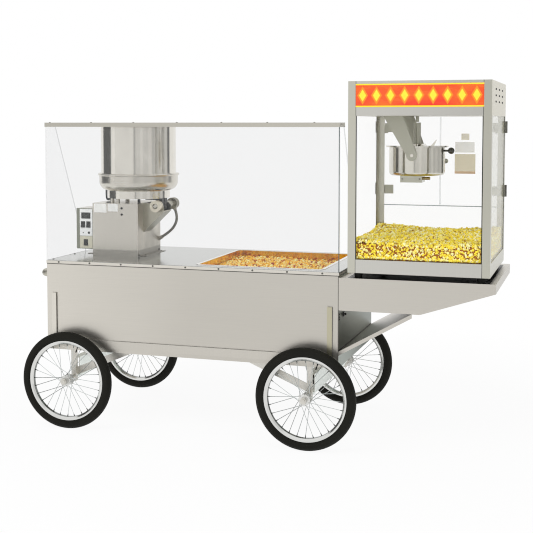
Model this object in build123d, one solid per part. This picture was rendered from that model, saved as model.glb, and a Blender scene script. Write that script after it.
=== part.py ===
from build123d import *
import math
import os

# Concession cart, in millimetres. +X runs along the cart to the shelf end, -Y is the sign side, +Z is up.
# The origin is on the ground, in the middle of the cart's footprint.

# Sheet metal and general clearances
SHEET = 1.5
FLANGE = 25.0
SEAT_GAP = 0.3
RUNNING_FIT = 0.05
SHAFT_CLEARANCE = 2.0

# Cabinet and sign channel (the sign board is 60 x 16 x 1/4 inch)
SIGN_LENGTH = 1524.0
SIGN_HEIGHT = 406.4
SIGN_THICK = 6.4
SIGN_MARGIN = 32.0
SIGN_RAISE = 22.0
SIGN_HEAD = 43.6
SIGN_LIP = 24.0
SIGN_BOTTOM_LIP = 40.0
SIGN_SIDE_LIP_HEIGHT = 280.0
CABINET_DEPTH = 770.0
DECK_LIP = 15.0
DECK_LIP_GAP = 0.5

# Sliding storage doors in the back of the cabinet
DOOR_FRAME = 62.0
DOOR_THICK = 3.0
DOOR_GROOVE = 4.0
DOOR_OVERLAP = 30.0
DOOR_LIFT = 2.0
TRACK_HEIGHT = 14.0
TRACK_FLOOR = 3.0
TRACK_WALL = 2.0
PULL_DIAMETER = 44.0
PULL_INSET = 60.0

# Cooling pan let into the deck
PAN_LEFT = 814.0
PAN_RIGHT = 91.0
PAN_FRONT = 55.0
PAN_BACK = 33.0
PAN_DROP = 150.0
PAN_RIM = 16.0
PAN_CORNER = 22.0
PAN_FIT = 1.0
CORN_BELOW_RIM = 34.0
CORN_CROWN = 14.0
CARAMEL_SKIN = 8.0

# Clear guard over the deck
PANE = 6.0
GUARD_INSET = 1.0
GUARD_HEIGHT = 727.0
GUARD_RAIL = 22.0
GUARD_TOP_DEPTH = 105.0
GUARD_BOTTOM_DEPTH = 445.0
RAIL_FIT = 0.2

# Push handle on the left end
HANDLE_REACH = 106.0
HANDLE_DIAMETER = 38.0
HANDLE_WALL = 2.0
HANDLE_SIDE = 100.0
HANDLE_BELOW_DECK = 85.0
HANDLE_BEND = 55.0
HANDLE_FLANGE_DIAMETER = 72.0
HANDLE_FLANGE_THICK = 4.0

# Extension shelf and its sloped brace on the right end
SHELF_PAST = 29.0
SHELF_BELOW_DECK = 25.0
SHELF_SKIRT = 160.0
SHELF_SKIRT_RUN = 400.0
SHELF_END_SKIRT = 46.0
BRACE_FOOT_RISE = 64.0
BRACE_REACH = 358.0
BRACE_FLANGE = 20.0
BRACE_TAB = 36.0

# Undercarriage
AXLE_INSET = 148.0
AXLE_DIAMETER = 20.0
FLOOR_ABOVE_AXLE = 146.0
WHEEL_DIAMETER = 508.0
WHEEL_OFFSET = 68.0
LEG = 25.0
LEG_WALL = 2.0
LEG_BELOW_AXLE = 20.0
LEG_INSET = 3.0
BEAM_HEIGHT = 88.0
BEAM_WIDTH = 40.0
BEAM_WALL = 3.0
BEAM_ABOVE_AXLE = 4.0
STAY_WIDTH = 38.0
STAY_THICK = 5.0
STAY_RUN = 290.0
STAY_RISE_START = 16.0
COLLAR_DIAMETER = 32.0
NUT_FLATS = 30.0
NUT_THICK = 12.0
AXLE_STUB = 3.0

# Wheel
TYRE_HEIGHT = 45.0
TYRE_WIDTH = 50.0
TREAD_WIDTH = 36.0
TREAD_DROP = 8.0
RIM_WIDTH = 30.0
RIM_WALL = 2.5
RIM_DEPTH = 18.0
RIM_WELL = 9.0
HUB_LENGTH = 60.0
HUB_BARREL = 34.0
HUB_FLANGE = 58.0
HUB_FLANGE_THICK = 3.0
HUB_FLANGE_SPREAD = 44.0
SPOKE_COUNT = 28
SPOKE_CROSSINGS = 2
SPOKE_RADIUS = 1.4
SPOKE_CIRCLE = 48.0
SPOKE_END_GAP = 0.6

# Cooker base and controls
BASE_LEFT = 136.0
BASE_FRONT = 265.0
BASE_WIDTH = 270.0
BASE_DEPTH = 306.0
BASE_HEIGHT = 288.0
BOX_WIDTH = 98.0
BOX_DEPTH = 150.0
BOX_HEIGHT = 223.0
BOX_RAISE = 34.0
FACE_THICK = 1.2
FACE_MARGIN = 8.0
FACE_LEFT = 20.0
SWITCH_WIDTH = 24.0
SWITCH_HEIGHT = 33.0
SWITCH_FIT = 0.8
SWITCH_PROUD = 2.0
SWITCH_TILT = 10.0
SWITCH_DRAFT = 1.0
SWITCH_DEPTH = 12.0
SWITCH_PIN = 3.0
SWITCH_HOUSING_DEPTH = 18.0
SWITCH_HOUSING_WALL = 2.0
SWITCH_ROW = 134.0
SWITCH_PITCH = 33.0
SWITCH_MIDDLE = 56.0
POWER_ROW = 35.0

# Cooker bowl and its tilting gear
BOWL_CENTRE_FROM_BASE = 69.0
BOWL_CENTRE_DEPTH = 428.0
POST_HEIGHT = 25.0
POST_DIAMETER = 24.0
POST_ANGLES = (140, 218, 244)
SKIRT_SET_IN = 43.5
SKIRT_HEIGHT = 41.0
HEATER_INSET = 18.5
HEATER_THICK = 18.0
SLEEVE_BORE_FIT = 1.0
BOWL_SLEEVE = 30.0
BOWL_SLEEVE_HEIGHT = 34.0
BOWL_WALL = 2.0
BOWL_DIAMETER = 434.0
BOWL_ROLL = 14.0
BOWL_HEIGHT = 95.0
BOWL_BEND = 50.0
GUARD_RING_SET_IN = 10.0
GUARD_RING_HEIGHT = 264.0
PIVOT_OUT = 86.0
PIVOT_BELOW_TOP = 14.0
PIVOT_SHAFT = 24.0
PIVOT_DISC = 64.0
PIVOT_GROOVE = 54.0
PIVOT_DISC_BANDS = (22.0, 4.0, 10.0)
PIVOT_CAP_BANDS = (9.0, 5.0, 9.0, 5.0, 9.0)
PIVOT_SLEEVE = 38.0
PIVOT_SLEEVE_LENGTH = 92.0
BRACKET_AHEAD = 90.0
BRACKET_REACH = 121.0
BRACKET_DROP = 160.0
BRACKET_LIP_DROP = 45.0
BRACKET_CUT = 15.0
BRACKET_LENGTH = 105.0
BRACKET_WALL = 3.0
SADDLE_WIDTH = 36.0
SADDLE_LENGTH = 34.0
SADDLE_INSET = 12.0
SADDLE_ARM = 8.0
SADDLE_REACH = 80.0
PADDLE_SHAFT = 20.0
PADDLE_HUB_WALL = 5.0
PADDLE_HUB_HEIGHT = 96.0
PADDLE_CLEAR = 17.0
PADDLE_BLADE = 26.0
PADDLE_BLADE_THICK = 4.0
PADDLE_TILT = 35.0
MOTOR_DIAMETER = 96.0
MOTOR_HEIGHT = 150.0
GEARBOX = 120.0
GEARBOX_HEIGHT = 60.0
MOTOR_SHAFT = 16.0
MOTOR_SHAFT_GAP = 3.0

# Conduit from the tilt bracket to the cooker base
CONDUIT_DIAMETER = 15.0
CONDUIT_BORE = 11.0
CONDUIT_EXIT = -70.0
CONDUIT_FIRST_RUN = 34.0
CONDUIT_TURNS = ((18.0, -115.0), (-16.0, -160.0), (-64.0, -190.0))
CONDUIT_GLAND = 20.0
CONDUIT_GLAND_OUT = 8.0
CORD_ARC_SHARE = 0.45

# Popper cabinet on the shelf
POPPER_GAP = 41.0
POPPER_WIDTH = 680.0
POPPER_BACK = 49.0
POPPER_HEIGHT = 925.0
POPPER_SET_BACK = 10.0
FOOT_HEIGHT = 25.0
FOOT_DIAMETER = 44.0
FOOT_INSET = 45.0
FOOT_TAPER = 4.0
POPPER_BASE_HEIGHT = 66.0
POPPER_POST = 38.0
POPPER_POST_WALL = 2.0
HEADER_HEIGHT = 166.0
SIGN_PANEL_SIDE = 36.0
SIGN_PANEL_HEIGHT = 112.0
SIGN_PANEL_RAISE = 41.0
SIGN_PANEL_THICK = 4.0
SIGN_PANEL_FIT = 0.4
GLASS = 4.0
GLASS_CORNER = 9.0
VENT_DIAMETER = 10.0
VENT_PITCH_Y = 165.0
VENT_PITCH_Z = 30.0
VENT_GRID = 3
REAR_PANE_HEIGHT = 218.0
CORN_DEPTH = 100.0
HEAP_CROWN = 16.0
CORN_SKIN = 3.0
SOFT_FIT = 1.0

# Popper doors and hinges
DOOR_PANE = 5.0
DOOR_GAP = 3.0
DOOR_STANDOFF = 3.5
HINGE_PIN = 6.0
HINGE_BARREL = 11.0
HINGE_LENGTH = 30.0
HINGE_INSET = 70.0
HINGE_LEAF = 42.0
HINGE_LEAF_DROP = 16.0
HINGE_LEAF_THICK = 2.5
DOOR_PULL = 26.0

# Kettle in the popper
KETTLE_LEFT = 65.0
KETTLE_HANG = 151.0
KETTLE_DIAMETER = 280.0
KETTLE_HEIGHT = 146.0
KETTLE_WALL = 2.0
KETTLE_BEND = 18.0
KETTLE_FLANGE_OUT = 16.0
KETTLE_FLANGE_THICK = 4.0
KETTLE_PIVOT_DROP = 43.0
LID_THICK = 3.0
LID_COLLAR = 44.0
LID_COLLAR_HEIGHT = 9.0
LID_SPLIT = 32.0
LID_PIN = 4.0
LID_BARREL = 9.0
LID_TAB = 30.0
HANGER_THICK = 3.0
HANGER_GAP = 4.0
HANGER_TOP_LEFT = 142.0
HANGER_TOP_RIGHT = 44.0
HANGER_EYE = 27.0
HANGER_PIN = 16.0
SLEEVE_DIAMETER = 36.0
SLEEVE_HEIGHT = 107.0
STIRRER_SHAFT = 16.0
STIRRER_BLADE = 18.0
STIRRER_BLADE_THICK = 3.0
STIRRER_CLEAR = 22.0
STUB_GAP = 2.0
STUB_DIAMETER = 18.0
DRIVE_SIZE = 110.0
DRIVE_HEIGHT = 90.0
HANDLE_ROD = 10.0
HANDLE_ROD_LENGTH = 15.0
HANDLE_ROD_DROP = 22.0
BALL_DIAMETER = 33.0
TERMINAL_BOX_LEFT = 77.0
TERMINAL_BOX_WIDTH = 110.0
TERMINAL_BOX_DEPTH = 96.0
TERMINAL_BOX_HEIGHT = 36.0
TERMINAL_NOSE = 16.0
TERMINAL_NOSE_LENGTH = 34.0
LEAD_DIAMETER = 8.0
LEAD_GLAND = 16.0
LEAD_GLAND_LENGTH = 26.0
LEAD_BEHIND = 14.0
LEAD_TOP_LEFT = 150.0
LEAD_TURNS = ((-146.0, 137.0), (-118.0, 84.0), (-82.0, 36.0), (-50.0, 6.0))

# Places worked out from the driving dimensions
CABINET_LENGTH = SIGN_LENGTH + 2 * SIGN_MARGIN
SHELF_LENGTH = POPPER_GAP + POPPER_WIDTH + SHELF_PAST
TOTAL_LENGTH = HANDLE_REACH + CABINET_LENGTH + SHELF_LENGTH
CAB_X0 = HANDLE_REACH - TOTAL_LENGTH / 2
CAB_X1 = CAB_X0 + CABINET_LENGTH
CAB_Y0 = -CABINET_DEPTH / 2
CAB_Y1 = CABINET_DEPTH / 2
AXLE_Z = WHEEL_DIAMETER / 2
CABINET_BOTTOM = AXLE_Z + FLOOR_ABOVE_AXLE
DECK_HEIGHT = CABINET_BOTTOM + SIGN_RAISE + SIGN_HEIGHT + SIGN_HEAD
PANEL_TOP = DECK_HEIGHT - SHEET
DECK_OVERHANG = SHEET + DECK_LIP_GAP
DECK_X0 = CAB_X0 - DECK_OVERHANG
DECK_X1 = CAB_X1 + DECK_OVERHANG
DECK_Y0 = CAB_Y0 - DECK_OVERHANG
DECK_Y1 = CAB_Y1 + DECK_OVERHANG
AXLE_XS = (CAB_X0 + AXLE_INSET, CAB_X1 - AXLE_INSET)
WHEEL_Y = CABINET_DEPTH / 2 + WHEEL_OFFSET


def block(x0, x1, y0, y1, z0, z1):
    """A solid between two opposite corners."""
    return Pos((x0 + x1) / 2, (y0 + y1) / 2, (z0 + z1) / 2) * Box(x1 - x0, y1 - y0, z1 - z0)


def prism_y(points, y0, y1):
    """An outline of (x, z) points, drawn out from y0 to y1."""
    return Pos(0, y1, 0) * extrude(Plane.XZ * make_face(Polyline(*points, close=True)), y1 - y0)


def prism_x(points, x0, x1):
    """An outline of (y, z) points, drawn out from x0 to x1."""
    return Pos(x0, 0, 0) * extrude(Plane.YZ * make_face(Polyline(*points, close=True)), x1 - x0)


def bar_y(x, z, diameter, y0, y1):
    """A round bar along Y."""
    return Pos(x, (y0 + y1) / 2, z) * Rot(90, 0, 0) * Cylinder(diameter / 2, y1 - y0)


def bar_z(x, y, diameter, z0, z1):
    """A round bar along Z."""
    return Pos(x, y, (z0 + z1) / 2) * Cylinder(diameter / 2, z1 - z0)


def bar_x(y, z, diameter, x0, x1):
    """A round bar along X."""
    return Pos((x0 + x1) / 2, y, z) * Rot(0, 90, 0) * Cylinder(diameter / 2, x1 - x0)


def turned_z(profile, x, y):
    """A face drawn with (radius, z) turned about a vertical line."""
    return Pos(x, y, 0) * revolve(Plane.XZ * profile, Axis.Z)


def turned_y(profile, x, y, z):
    """A face drawn with (radius, y) turned about a line along Y."""
    return Pos(x, y, z) * revolve(profile, Axis.Y)


def outline(*points):
    """A face inside straight edges."""
    return make_face(Polyline(*points, close=True))


nodes = {}


# Cabinet shell
def folded_wall(y_face, inward):
    """A long wall with top and bottom flanges that stop short of the end panels."""
    y_in = y_face + inward * SHEET
    y_flange = y_face + inward * FLANGE
    web = block(CAB_X0, CAB_X1, min(y_face, y_in), max(y_face, y_in), CABINET_BOTTOM, PANEL_TOP)
    x0 = CAB_X0 + FLANGE + SEAT_GAP
    x1 = CAB_X1 - FLANGE - SEAT_GAP
    low, high = min(y_face, y_flange), max(y_face, y_flange)
    bottom = block(x0, x1, low, high, CABINET_BOTTOM, CABINET_BOTTOM + SHEET)
    top = block(x0, x1, low, high, PANEL_TOP - SHEET, PANEL_TOP)
    return web + bottom + top


def end_panel(x_face, inward):
    """An end wall folded inwards on all four edges."""
    x_flange = x_face + inward * FLANGE
    x_in = x_face + inward * SHEET
    x_past = x_flange + inward
    outer = block(min(x_face, x_flange), max(x_face, x_flange), CAB_Y0 + SHEET, CAB_Y1 - SHEET,
                  CABINET_BOTTOM, PANEL_TOP)
    hollow = block(min(x_in, x_past), max(x_in, x_past), CAB_Y0 + 2 * SHEET, CAB_Y1 - 2 * SHEET,
                   CABINET_BOTTOM + SHEET, PANEL_TOP - SHEET)
    return outer - hollow


nodes["front_panel"] = folded_wall(CAB_Y0, 1)
nodes["end_panels"] = Compound([end_panel(CAB_X0, 1), end_panel(CAB_X1, -1)])
nodes["floor_panel"] = block(CAB_X0 + SHEET, CAB_X1 - SHEET, CAB_Y0 + 2 * SHEET, CAB_Y1 - 2 * SHEET,
                             CABINET_BOTTOM + SHEET, CABINET_BOTTOM + 2 * SHEET)

# Sign channel: a deep lip along the bottom and one up each side, open at the top for the board
SIGN_X0 = CAB_X0 + SIGN_MARGIN
SIGN_X1 = SIGN_X0 + SIGN_LENGTH
SIGN_Z0 = CABINET_BOTTOM + SIGN_RAISE
CHANNEL_FRONT = CAB_Y0 - SIGN_THICK - SHEET


def side_channel(x_edge, inward):
    """An angle beside the board: a wall at its edge and a lip in front of it."""
    x_wall = x_edge - inward * SHEET
    x_lip = x_edge + inward * SIGN_LIP
    z0, z1 = SIGN_Z0 + SIGN_BOTTOM_LIP, SIGN_Z0 + SIGN_SIDE_LIP_HEIGHT
    wall = block(min(x_wall, x_edge), max(x_wall, x_edge), CHANNEL_FRONT, CAB_Y0, z0, z1)
    lip = block(min(x_wall, x_lip), max(x_wall, x_lip), CHANNEL_FRONT, CHANNEL_FRONT + SHEET, z0, z1)
    return wall + lip


bottom_wall = block(SIGN_X0 - SHEET, SIGN_X1 + SHEET, CHANNEL_FRONT, CAB_Y0, SIGN_Z0 - SHEET, SIGN_Z0)
bottom_lip = block(SIGN_X0 - SHEET, SIGN_X1 + SHEET, CHANNEL_FRONT, CHANNEL_FRONT + SHEET,
                   SIGN_Z0 - SHEET, SIGN_Z0 + SIGN_BOTTOM_LIP)
nodes["sign_channels"] = Compound([bottom_wall + bottom_lip, side_channel(SIGN_X0, 1),
                                   side_channel(SIGN_X1, -1)])

# Back of the cabinet: a frame, two grooved tracks and two sliding doors
OPEN_X0, OPEN_X1 = CAB_X0 + DOOR_FRAME, CAB_X1 - DOOR_FRAME
OPEN_Z0, OPEN_Z1 = CABINET_BOTTOM + DOOR_FRAME, PANEL_TOP - DOOR_FRAME
OPEN_MIDDLE = (OPEN_X0 + OPEN_X1) / 2
rear_wall = folded_wall(CAB_Y1, -1)
rear_wall -= block(OPEN_X0, OPEN_X1, CAB_Y1 - SHEET - 1, CAB_Y1 + 1, OPEN_Z0, OPEN_Z1)
TRACK_DEPTH = 3 * TRACK_WALL + 2 * DOOR_GROOVE
TRACK_Y1 = CAB_Y1 - SHEET
TRACK_X0, TRACK_X1 = OPEN_X0 - FLANGE, OPEN_X1 + FLANGE
GROOVE_YS = [TRACK_Y1 - TRACK_WALL - DOOR_GROOVE / 2 - k * (DOOR_GROOVE + TRACK_WALL) for k in range(2)]


def door_track(z_floor, up):
    """A grooved rail, its grooves opening up or down."""
    z_end = z_floor + up * TRACK_HEIGHT
    rail = block(TRACK_X0, TRACK_X1, TRACK_Y1 - TRACK_DEPTH, TRACK_Y1,
                 min(z_floor, z_end), max(z_floor, z_end))
    z_groove = z_floor + up * TRACK_FLOOR
    z_past = z_end + up
    for y in GROOVE_YS:
        rail -= block(TRACK_X0 - 1, TRACK_X1 + 1, y - DOOR_GROOVE / 2, y + DOOR_GROOVE / 2,
                      min(z_groove, z_past), max(z_groove, z_past))
    return rail


TRACK_LOW = OPEN_Z0 - TRACK_HEIGHT
TRACK_HIGH = OPEN_Z1 + TRACK_HEIGHT
nodes["rear_frame"] = Compound([rear_wall, door_track(TRACK_LOW, 1), door_track(TRACK_HIGH, -1)])


def storage_door(x0, x1, y, pull_x):
    """A sliding door with a round finger hole."""
    z0 = TRACK_LOW + TRACK_FLOOR + SEAT_GAP
    z1 = TRACK_HIGH - TRACK_FLOOR - DOOR_LIFT
    panel = block(x0, x1, y - DOOR_THICK / 2, y + DOOR_THICK / 2, z0, z1)
    return panel - bar_y(pull_x, (z0 + z1) / 2, PULL_DIAMETER, y - DOOR_THICK, y + DOOR_THICK)


past = DOOR_OVERLAP / 2
nodes["storage_door_left"] = storage_door(OPEN_X0 - past, OPEN_MIDDLE + past, GROOVE_YS[0],
                                          OPEN_X0 + PULL_INSET)
nodes["storage_door_right"] = storage_door(OPEN_MIDDLE - past, OPEN_X1 + past, GROOVE_YS[1],
                                           OPEN_X1 - PULL_INSET)

# Deck with a turned-down lip, and the pan dropped into it
PAN_X0 = CAB_X0 + PAN_LEFT
PAN_X1 = CAB_X1 - PAN_RIGHT
PAN_Y0 = CAB_Y0 + PAN_FRONT
PAN_Y1 = CAB_Y1 - PAN_BACK
PAN_X = (PAN_X0 + PAN_X1) / 2
PAN_Y = (PAN_Y0 + PAN_Y1) / 2
PAN_WIDTH = PAN_X1 - PAN_X0
PAN_DEPTH = PAN_Y1 - PAN_Y0
PAN_BODY_WIDTH = PAN_WIDTH - 2 * PAN_RIM
PAN_BODY_DEPTH = PAN_DEPTH - 2 * PAN_RIM
PAN_BOTTOM = DECK_HEIGHT - PAN_DROP


def rounded_block(x, y, width, depth, radius, z0, z1):
    """A block with round upright corners."""
    return Pos(x, y, z0) * extrude(RectangleRounded(width, depth, radius), z1 - z0)


deck = block(DECK_X0, DECK_X1, DECK_Y0, DECK_Y1, DECK_HEIGHT - DECK_LIP, DECK_HEIGHT)
deck -= block(DECK_X0 + SHEET, DECK_X1 - SHEET, DECK_Y0 + SHEET, DECK_Y1 - SHEET,
              DECK_HEIGHT - DECK_LIP - 1, DECK_HEIGHT - SHEET)
deck -= rounded_block(PAN_X, PAN_Y, PAN_BODY_WIDTH + 2 * PAN_FIT, PAN_BODY_DEPTH + 2 * PAN_FIT,
                      PAN_CORNER + PAN_FIT, DECK_HEIGHT - DECK_LIP, DECK_HEIGHT + 1)
nodes["deck_top"] = deck

pan = rounded_block(PAN_X, PAN_Y, PAN_BODY_WIDTH, PAN_BODY_DEPTH, PAN_CORNER, PAN_BOTTOM, DECK_HEIGHT + SHEET)
pan += rounded_block(PAN_X, PAN_Y, PAN_WIDTH, PAN_DEPTH, PAN_CORNER + PAN_RIM,
                     DECK_HEIGHT, DECK_HEIGHT + SHEET)
pan -= rounded_block(PAN_X, PAN_Y, PAN_BODY_WIDTH - 2 * SHEET, PAN_BODY_DEPTH - 2 * SHEET, PAN_CORNER - SHEET,
                     PAN_BOTTOM + SHEET, DECK_HEIGHT + SHEET + 1)
nodes["cooling_pan"] = pan


def heap(x, y, width, depth, radius, z0, z1, crown):
    """A bed of corn whose upper edge slopes in to a flat top."""
    edge = RectangleRounded(width, depth, radius)
    top = RectangleRounded(width - 4 * crown, depth - 4 * crown, radius)
    slope = loft([Pos(x, y, z1 - crown) * edge, Pos(x, y, z1) * top], ruled=True)
    return rounded_block(x, y, width, depth, radius, z0, z1 - crown) + slope


def corn_bed(x, y, width, depth, radius, z0, z1, crown, skin):
    """The skin of a bed of loose corn, open below so that it weighs about what the corn does."""
    inside = heap(x, y, width - 2 * skin, depth - 2 * skin, radius - skin, z0 - 1, z1 - skin, crown)
    return heap(x, y, width, depth, radius, z0, z1, crown) - inside


caramel_in = 2 * SHEET + 2 * SOFT_FIT
nodes["caramel_corn"] = corn_bed(PAN_X, PAN_Y, PAN_BODY_WIDTH - caramel_in, PAN_BODY_DEPTH - caramel_in,
                                 PAN_CORNER - caramel_in / 2, PAN_BOTTOM + SHEET,
                                 DECK_HEIGHT - CORN_BELOW_RIM, CORN_CROWN, CARAMEL_SKIN)

# Clear guard: a front pane, two sloped end panes and a cap rail
GUARD_Y0 = DECK_Y0 + GUARD_INSET
GUARD_TOP = DECK_HEIGHT + GUARD_HEIGHT
PANE_TOP = GUARD_TOP - SHEET
front_pane = block(DECK_X0, DECK_X1, GUARD_Y0, GUARD_Y0 + PANE, DECK_HEIGHT, PANE_TOP)
end_outline = [(GUARD_Y0 + PANE, DECK_HEIGHT), (GUARD_Y0 + GUARD_BOTTOM_DEPTH, DECK_HEIGHT),
               (GUARD_Y0 + GUARD_TOP_DEPTH, GUARD_TOP - GUARD_RAIL), (GUARD_Y0 + GUARD_TOP_DEPTH, PANE_TOP),
               (GUARD_Y0 + PANE, PANE_TOP)]
nodes["guard_panes"] = Compound([front_pane, prism_x(end_outline, DECK_X0, DECK_X0 + PANE),
                                 prism_x(end_outline, DECK_X1 - PANE, DECK_X1)])
rail_out = SHEET + RAIL_FIT
rail_y1 = GUARD_Y0 + GUARD_TOP_DEPTH
rail = block(DECK_X0 - rail_out, DECK_X1 + rail_out, GUARD_Y0 - rail_out, rail_y1 + rail_out,
             GUARD_TOP - GUARD_RAIL, GUARD_TOP)
rail -= block(DECK_X0 - RAIL_FIT, DECK_X1 + RAIL_FIT, GUARD_Y0 - RAIL_FIT, rail_y1 + RAIL_FIT,
              GUARD_TOP - GUARD_RAIL - 1, PANE_TOP)
nodes["guard_top_rail"] = rail

# Push handle: a bent tube between two wall flanges
HANDLE_X = CAB_X0 - HANDLE_REACH + HANDLE_DIAMETER / 2
HANDLE_HEIGHT = DECK_HEIGHT - HANDLE_BELOW_DECK
tube_start = CAB_X0 - HANDLE_FLANGE_THICK
handle_y = CABINET_DEPTH / 2 - HANDLE_SIDE
handle_path = FilletPolyline((tube_start, -handle_y, HANDLE_HEIGHT), (HANDLE_X, -handle_y, HANDLE_HEIGHT),
                             (HANDLE_X, handle_y, HANDLE_HEIGHT), (tube_start, handle_y, HANDLE_HEIGHT),
                             radius=HANDLE_BEND)
handle_section = Circle(HANDLE_DIAMETER / 2) - Circle(HANDLE_DIAMETER / 2 - HANDLE_WALL)
handle_tube = sweep((handle_path ^ 0) * handle_section, handle_path)
handle_flanges = [bar_x(y, HANDLE_HEIGHT, HANDLE_FLANGE_DIAMETER, tube_start, CAB_X0)
                  for y in (-handle_y, handle_y)]
nodes["push_handle"] = Compound([handle_tube, *handle_flanges])

# Extension shelf: a folded tray, deep at the cabinet and shallow at its end, and a sloped brace below it
SHELF_X0, SHELF_X1 = CAB_X1, CAB_X1 + SHELF_LENGTH
SHELF_TOP = DECK_HEIGHT - SHELF_BELOW_DECK
SKIRT_BOTTOM = SHELF_TOP - SHELF_SKIRT


def shelf_outline(inset):
    """The side view of the shelf, or of its hollow when inset by the sheet."""
    return [(SHELF_X0 - (1 if inset else 0), SHELF_TOP - inset), (SHELF_X1 - inset, SHELF_TOP - inset),
            (SHELF_X1 - inset, SHELF_TOP - SHELF_END_SKIRT - inset),
            (SHELF_X0 + SHELF_SKIRT_RUN, SKIRT_BOTTOM - inset),
            (SHELF_X0 - (1 if inset else 0), SKIRT_BOTTOM - inset)]


shelf = prism_y(shelf_outline(0), CAB_Y0, CAB_Y1)
shelf -= prism_y(shelf_outline(SHEET), CAB_Y0 + SHEET, CAB_Y1 - SHEET)
for y0, y1 in ((CAB_Y0, CAB_Y0 + FLANGE), (CAB_Y1 - FLANGE, CAB_Y1)):
    shelf += block(SHELF_X0, SHELF_X0 + SHELF_SKIRT_RUN, y0, y1, SKIRT_BOTTOM, SKIRT_BOTTOM + SHEET)
nodes["extension_shelf"] = shelf

BRACE_X1 = SHELF_X0 + BRACE_REACH
BRACE_TOP = SKIRT_BOTTOM - SHEET
BRACE_FOOT = CABINET_BOTTOM + BRACE_FOOT_RISE


def brace_outline(top_drop, foot):
    """The side view of the sloped brace from the end wall to the shelf."""
    top_low = BRACE_FOOT + BRACE_FLANGE - top_drop
    top_high = BRACE_TOP + SHEET - top_drop
    return [(SHELF_X0, foot), (SHELF_X0, top_low), (BRACE_X1, top_high),
            (BRACE_X1, top_high - (top_low - foot))]


brace = prism_y(brace_outline(0, BRACE_FOOT), CAB_Y0 + SHEET, CAB_Y1 - SHEET)
brace -= prism_y(brace_outline(SHEET, BRACE_FOOT - 1), CAB_Y0 + 2 * SHEET, CAB_Y1 - 2 * SHEET)
brace += block(BRACE_X1 - SHEET, BRACE_X1 + BRACE_TAB, CAB_Y0 + SHEET, CAB_Y1 - SHEET,
               BRACE_TOP, BRACE_TOP + SHEET)
nodes["shelf_brace"] = brace

# Undercarriage: on each axle a cross beam, two legs and two diagonal stays
LEG_Y = CABINET_DEPTH / 2 - LEG_INSET - LEG / 2
LEG_Z0 = AXLE_Z - LEG_BELOW_AXLE
STAY_Y1 = LEG_Y - LEG / 2
STAY_Y0 = STAY_Y1 - STAY_THICK
BEAM_Z0 = AXLE_Z + AXLE_DIAMETER / 2 + BEAM_ABOVE_AXLE
FLOOR_UNDER = CABINET_BOTTOM + SHEET
axle_bore = AXLE_DIAMETER + 2 * RUNNING_FIT


def axle_leg(x, side):
    """A square tube leg with a hole for the axle."""
    y = side * LEG_Y
    leg = block(x - LEG / 2, x + LEG / 2, y - LEG / 2, y + LEG / 2, LEG_Z0, CABINET_BOTTOM)
    bore = LEG / 2 - LEG_WALL
    leg -= block(x - bore, x + bore, y - bore, y + bore, LEG_Z0 - 1, CABINET_BOTTOM + 1)
    return leg - bar_y(x, AXLE_Z, axle_bore, y - LEG, y + LEG)


def axle_beam(x):
    """A channel across the cart, its web towards the shelf end."""
    beam = block(x - BEAM_WIDTH / 2, x + BEAM_WIDTH / 2, -STAY_Y0, STAY_Y0, BEAM_Z0, BEAM_Z0 + BEAM_HEIGHT)
    return beam - block(x - BEAM_WIDTH / 2 - 1, x + BEAM_WIDTH / 2 - BEAM_WALL, -STAY_Y0 - 1, STAY_Y0 + 1,
                        BEAM_Z0 + BEAM_WALL, BEAM_Z0 + BEAM_HEIGHT - BEAM_WALL)


def axle_stay(x, side, towards):
    """A flat diagonal bar from the leg up to the underside of the floor."""
    low = Vector(x, AXLE_Z + AXLE_DIAMETER / 2 + STAY_RISE_START)
    high = Vector(x + towards * STAY_RUN, FLOOR_UNDER)
    along = (high - low).normalized()
    across = Vector(-along.Y, along.X) * (STAY_WIDTH / 2)
    past = high + along * STAY_WIDTH
    corners = [low + across, past + across, past - across, low - across]
    y0, y1 = sorted((side * STAY_Y0, side * STAY_Y1))
    bar = prism_y([(c.X, c.Y) for c in corners], y0, y1)
    above = block(x - TOTAL_LENGTH, x + TOTAL_LENGTH, y0 - 1, y1 + 1, FLOOR_UNDER, FLOOR_UNDER + SHELF_LENGTH)
    return bar - above


frames = []
for axle_x, towards in zip(AXLE_XS, (1, -1)):
    frames.append(axle_beam(axle_x))
    for side in (-1, 1):
        frames.append(axle_leg(axle_x, side))
        frames.append(axle_stay(axle_x, side, towards))
nodes["axle_frames"] = Compound(frames)

HUB_IN = WHEEL_Y - HUB_LENGTH / 2
HUB_OUT = WHEEL_Y + HUB_LENGTH / 2
NUT_IN = HUB_OUT + SEAT_GAP
axle_pieces = []
for axle_x in AXLE_XS:
    axle_end = NUT_IN + NUT_THICK + AXLE_STUB
    axle_pieces.append(bar_y(axle_x, AXLE_Z, AXLE_DIAMETER, -axle_end, axle_end))
    for side in (-1, 1):
        y0, y1 = sorted((side * (LEG_Y + LEG / 2), side * (HUB_IN - SEAT_GAP)))
        collar = bar_y(axle_x, AXLE_Z, COLLAR_DIAMETER, y0, y1)
        axle_pieces.append(collar - bar_y(axle_x, AXLE_Z, axle_bore, y0 - 1, y1 + 1))
        hexagon = Plane.XZ * RegularPolygon(NUT_FLATS / 2, 6, major_radius=False)
        nut_middle = Pos(axle_x, side * (NUT_IN + NUT_THICK / 2), AXLE_Z)
        nut = nut_middle * extrude(hexagon, NUT_THICK / 2, both=True)
        axle_pieces.append(nut - bar_y(axle_x, AXLE_Z, axle_bore, -axle_end - 1, axle_end + 1))
nodes["axles"] = Compound(axle_pieces)

# Wheels: tyre, chromed rim and a hub with laced spokes
RIM_RADIUS = WHEEL_DIAMETER / 2 - TYRE_HEIGHT
RIM_BED = RIM_RADIUS - RIM_WELL
RIM_INSIDE = RIM_RADIUS - RIM_DEPTH


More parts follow.
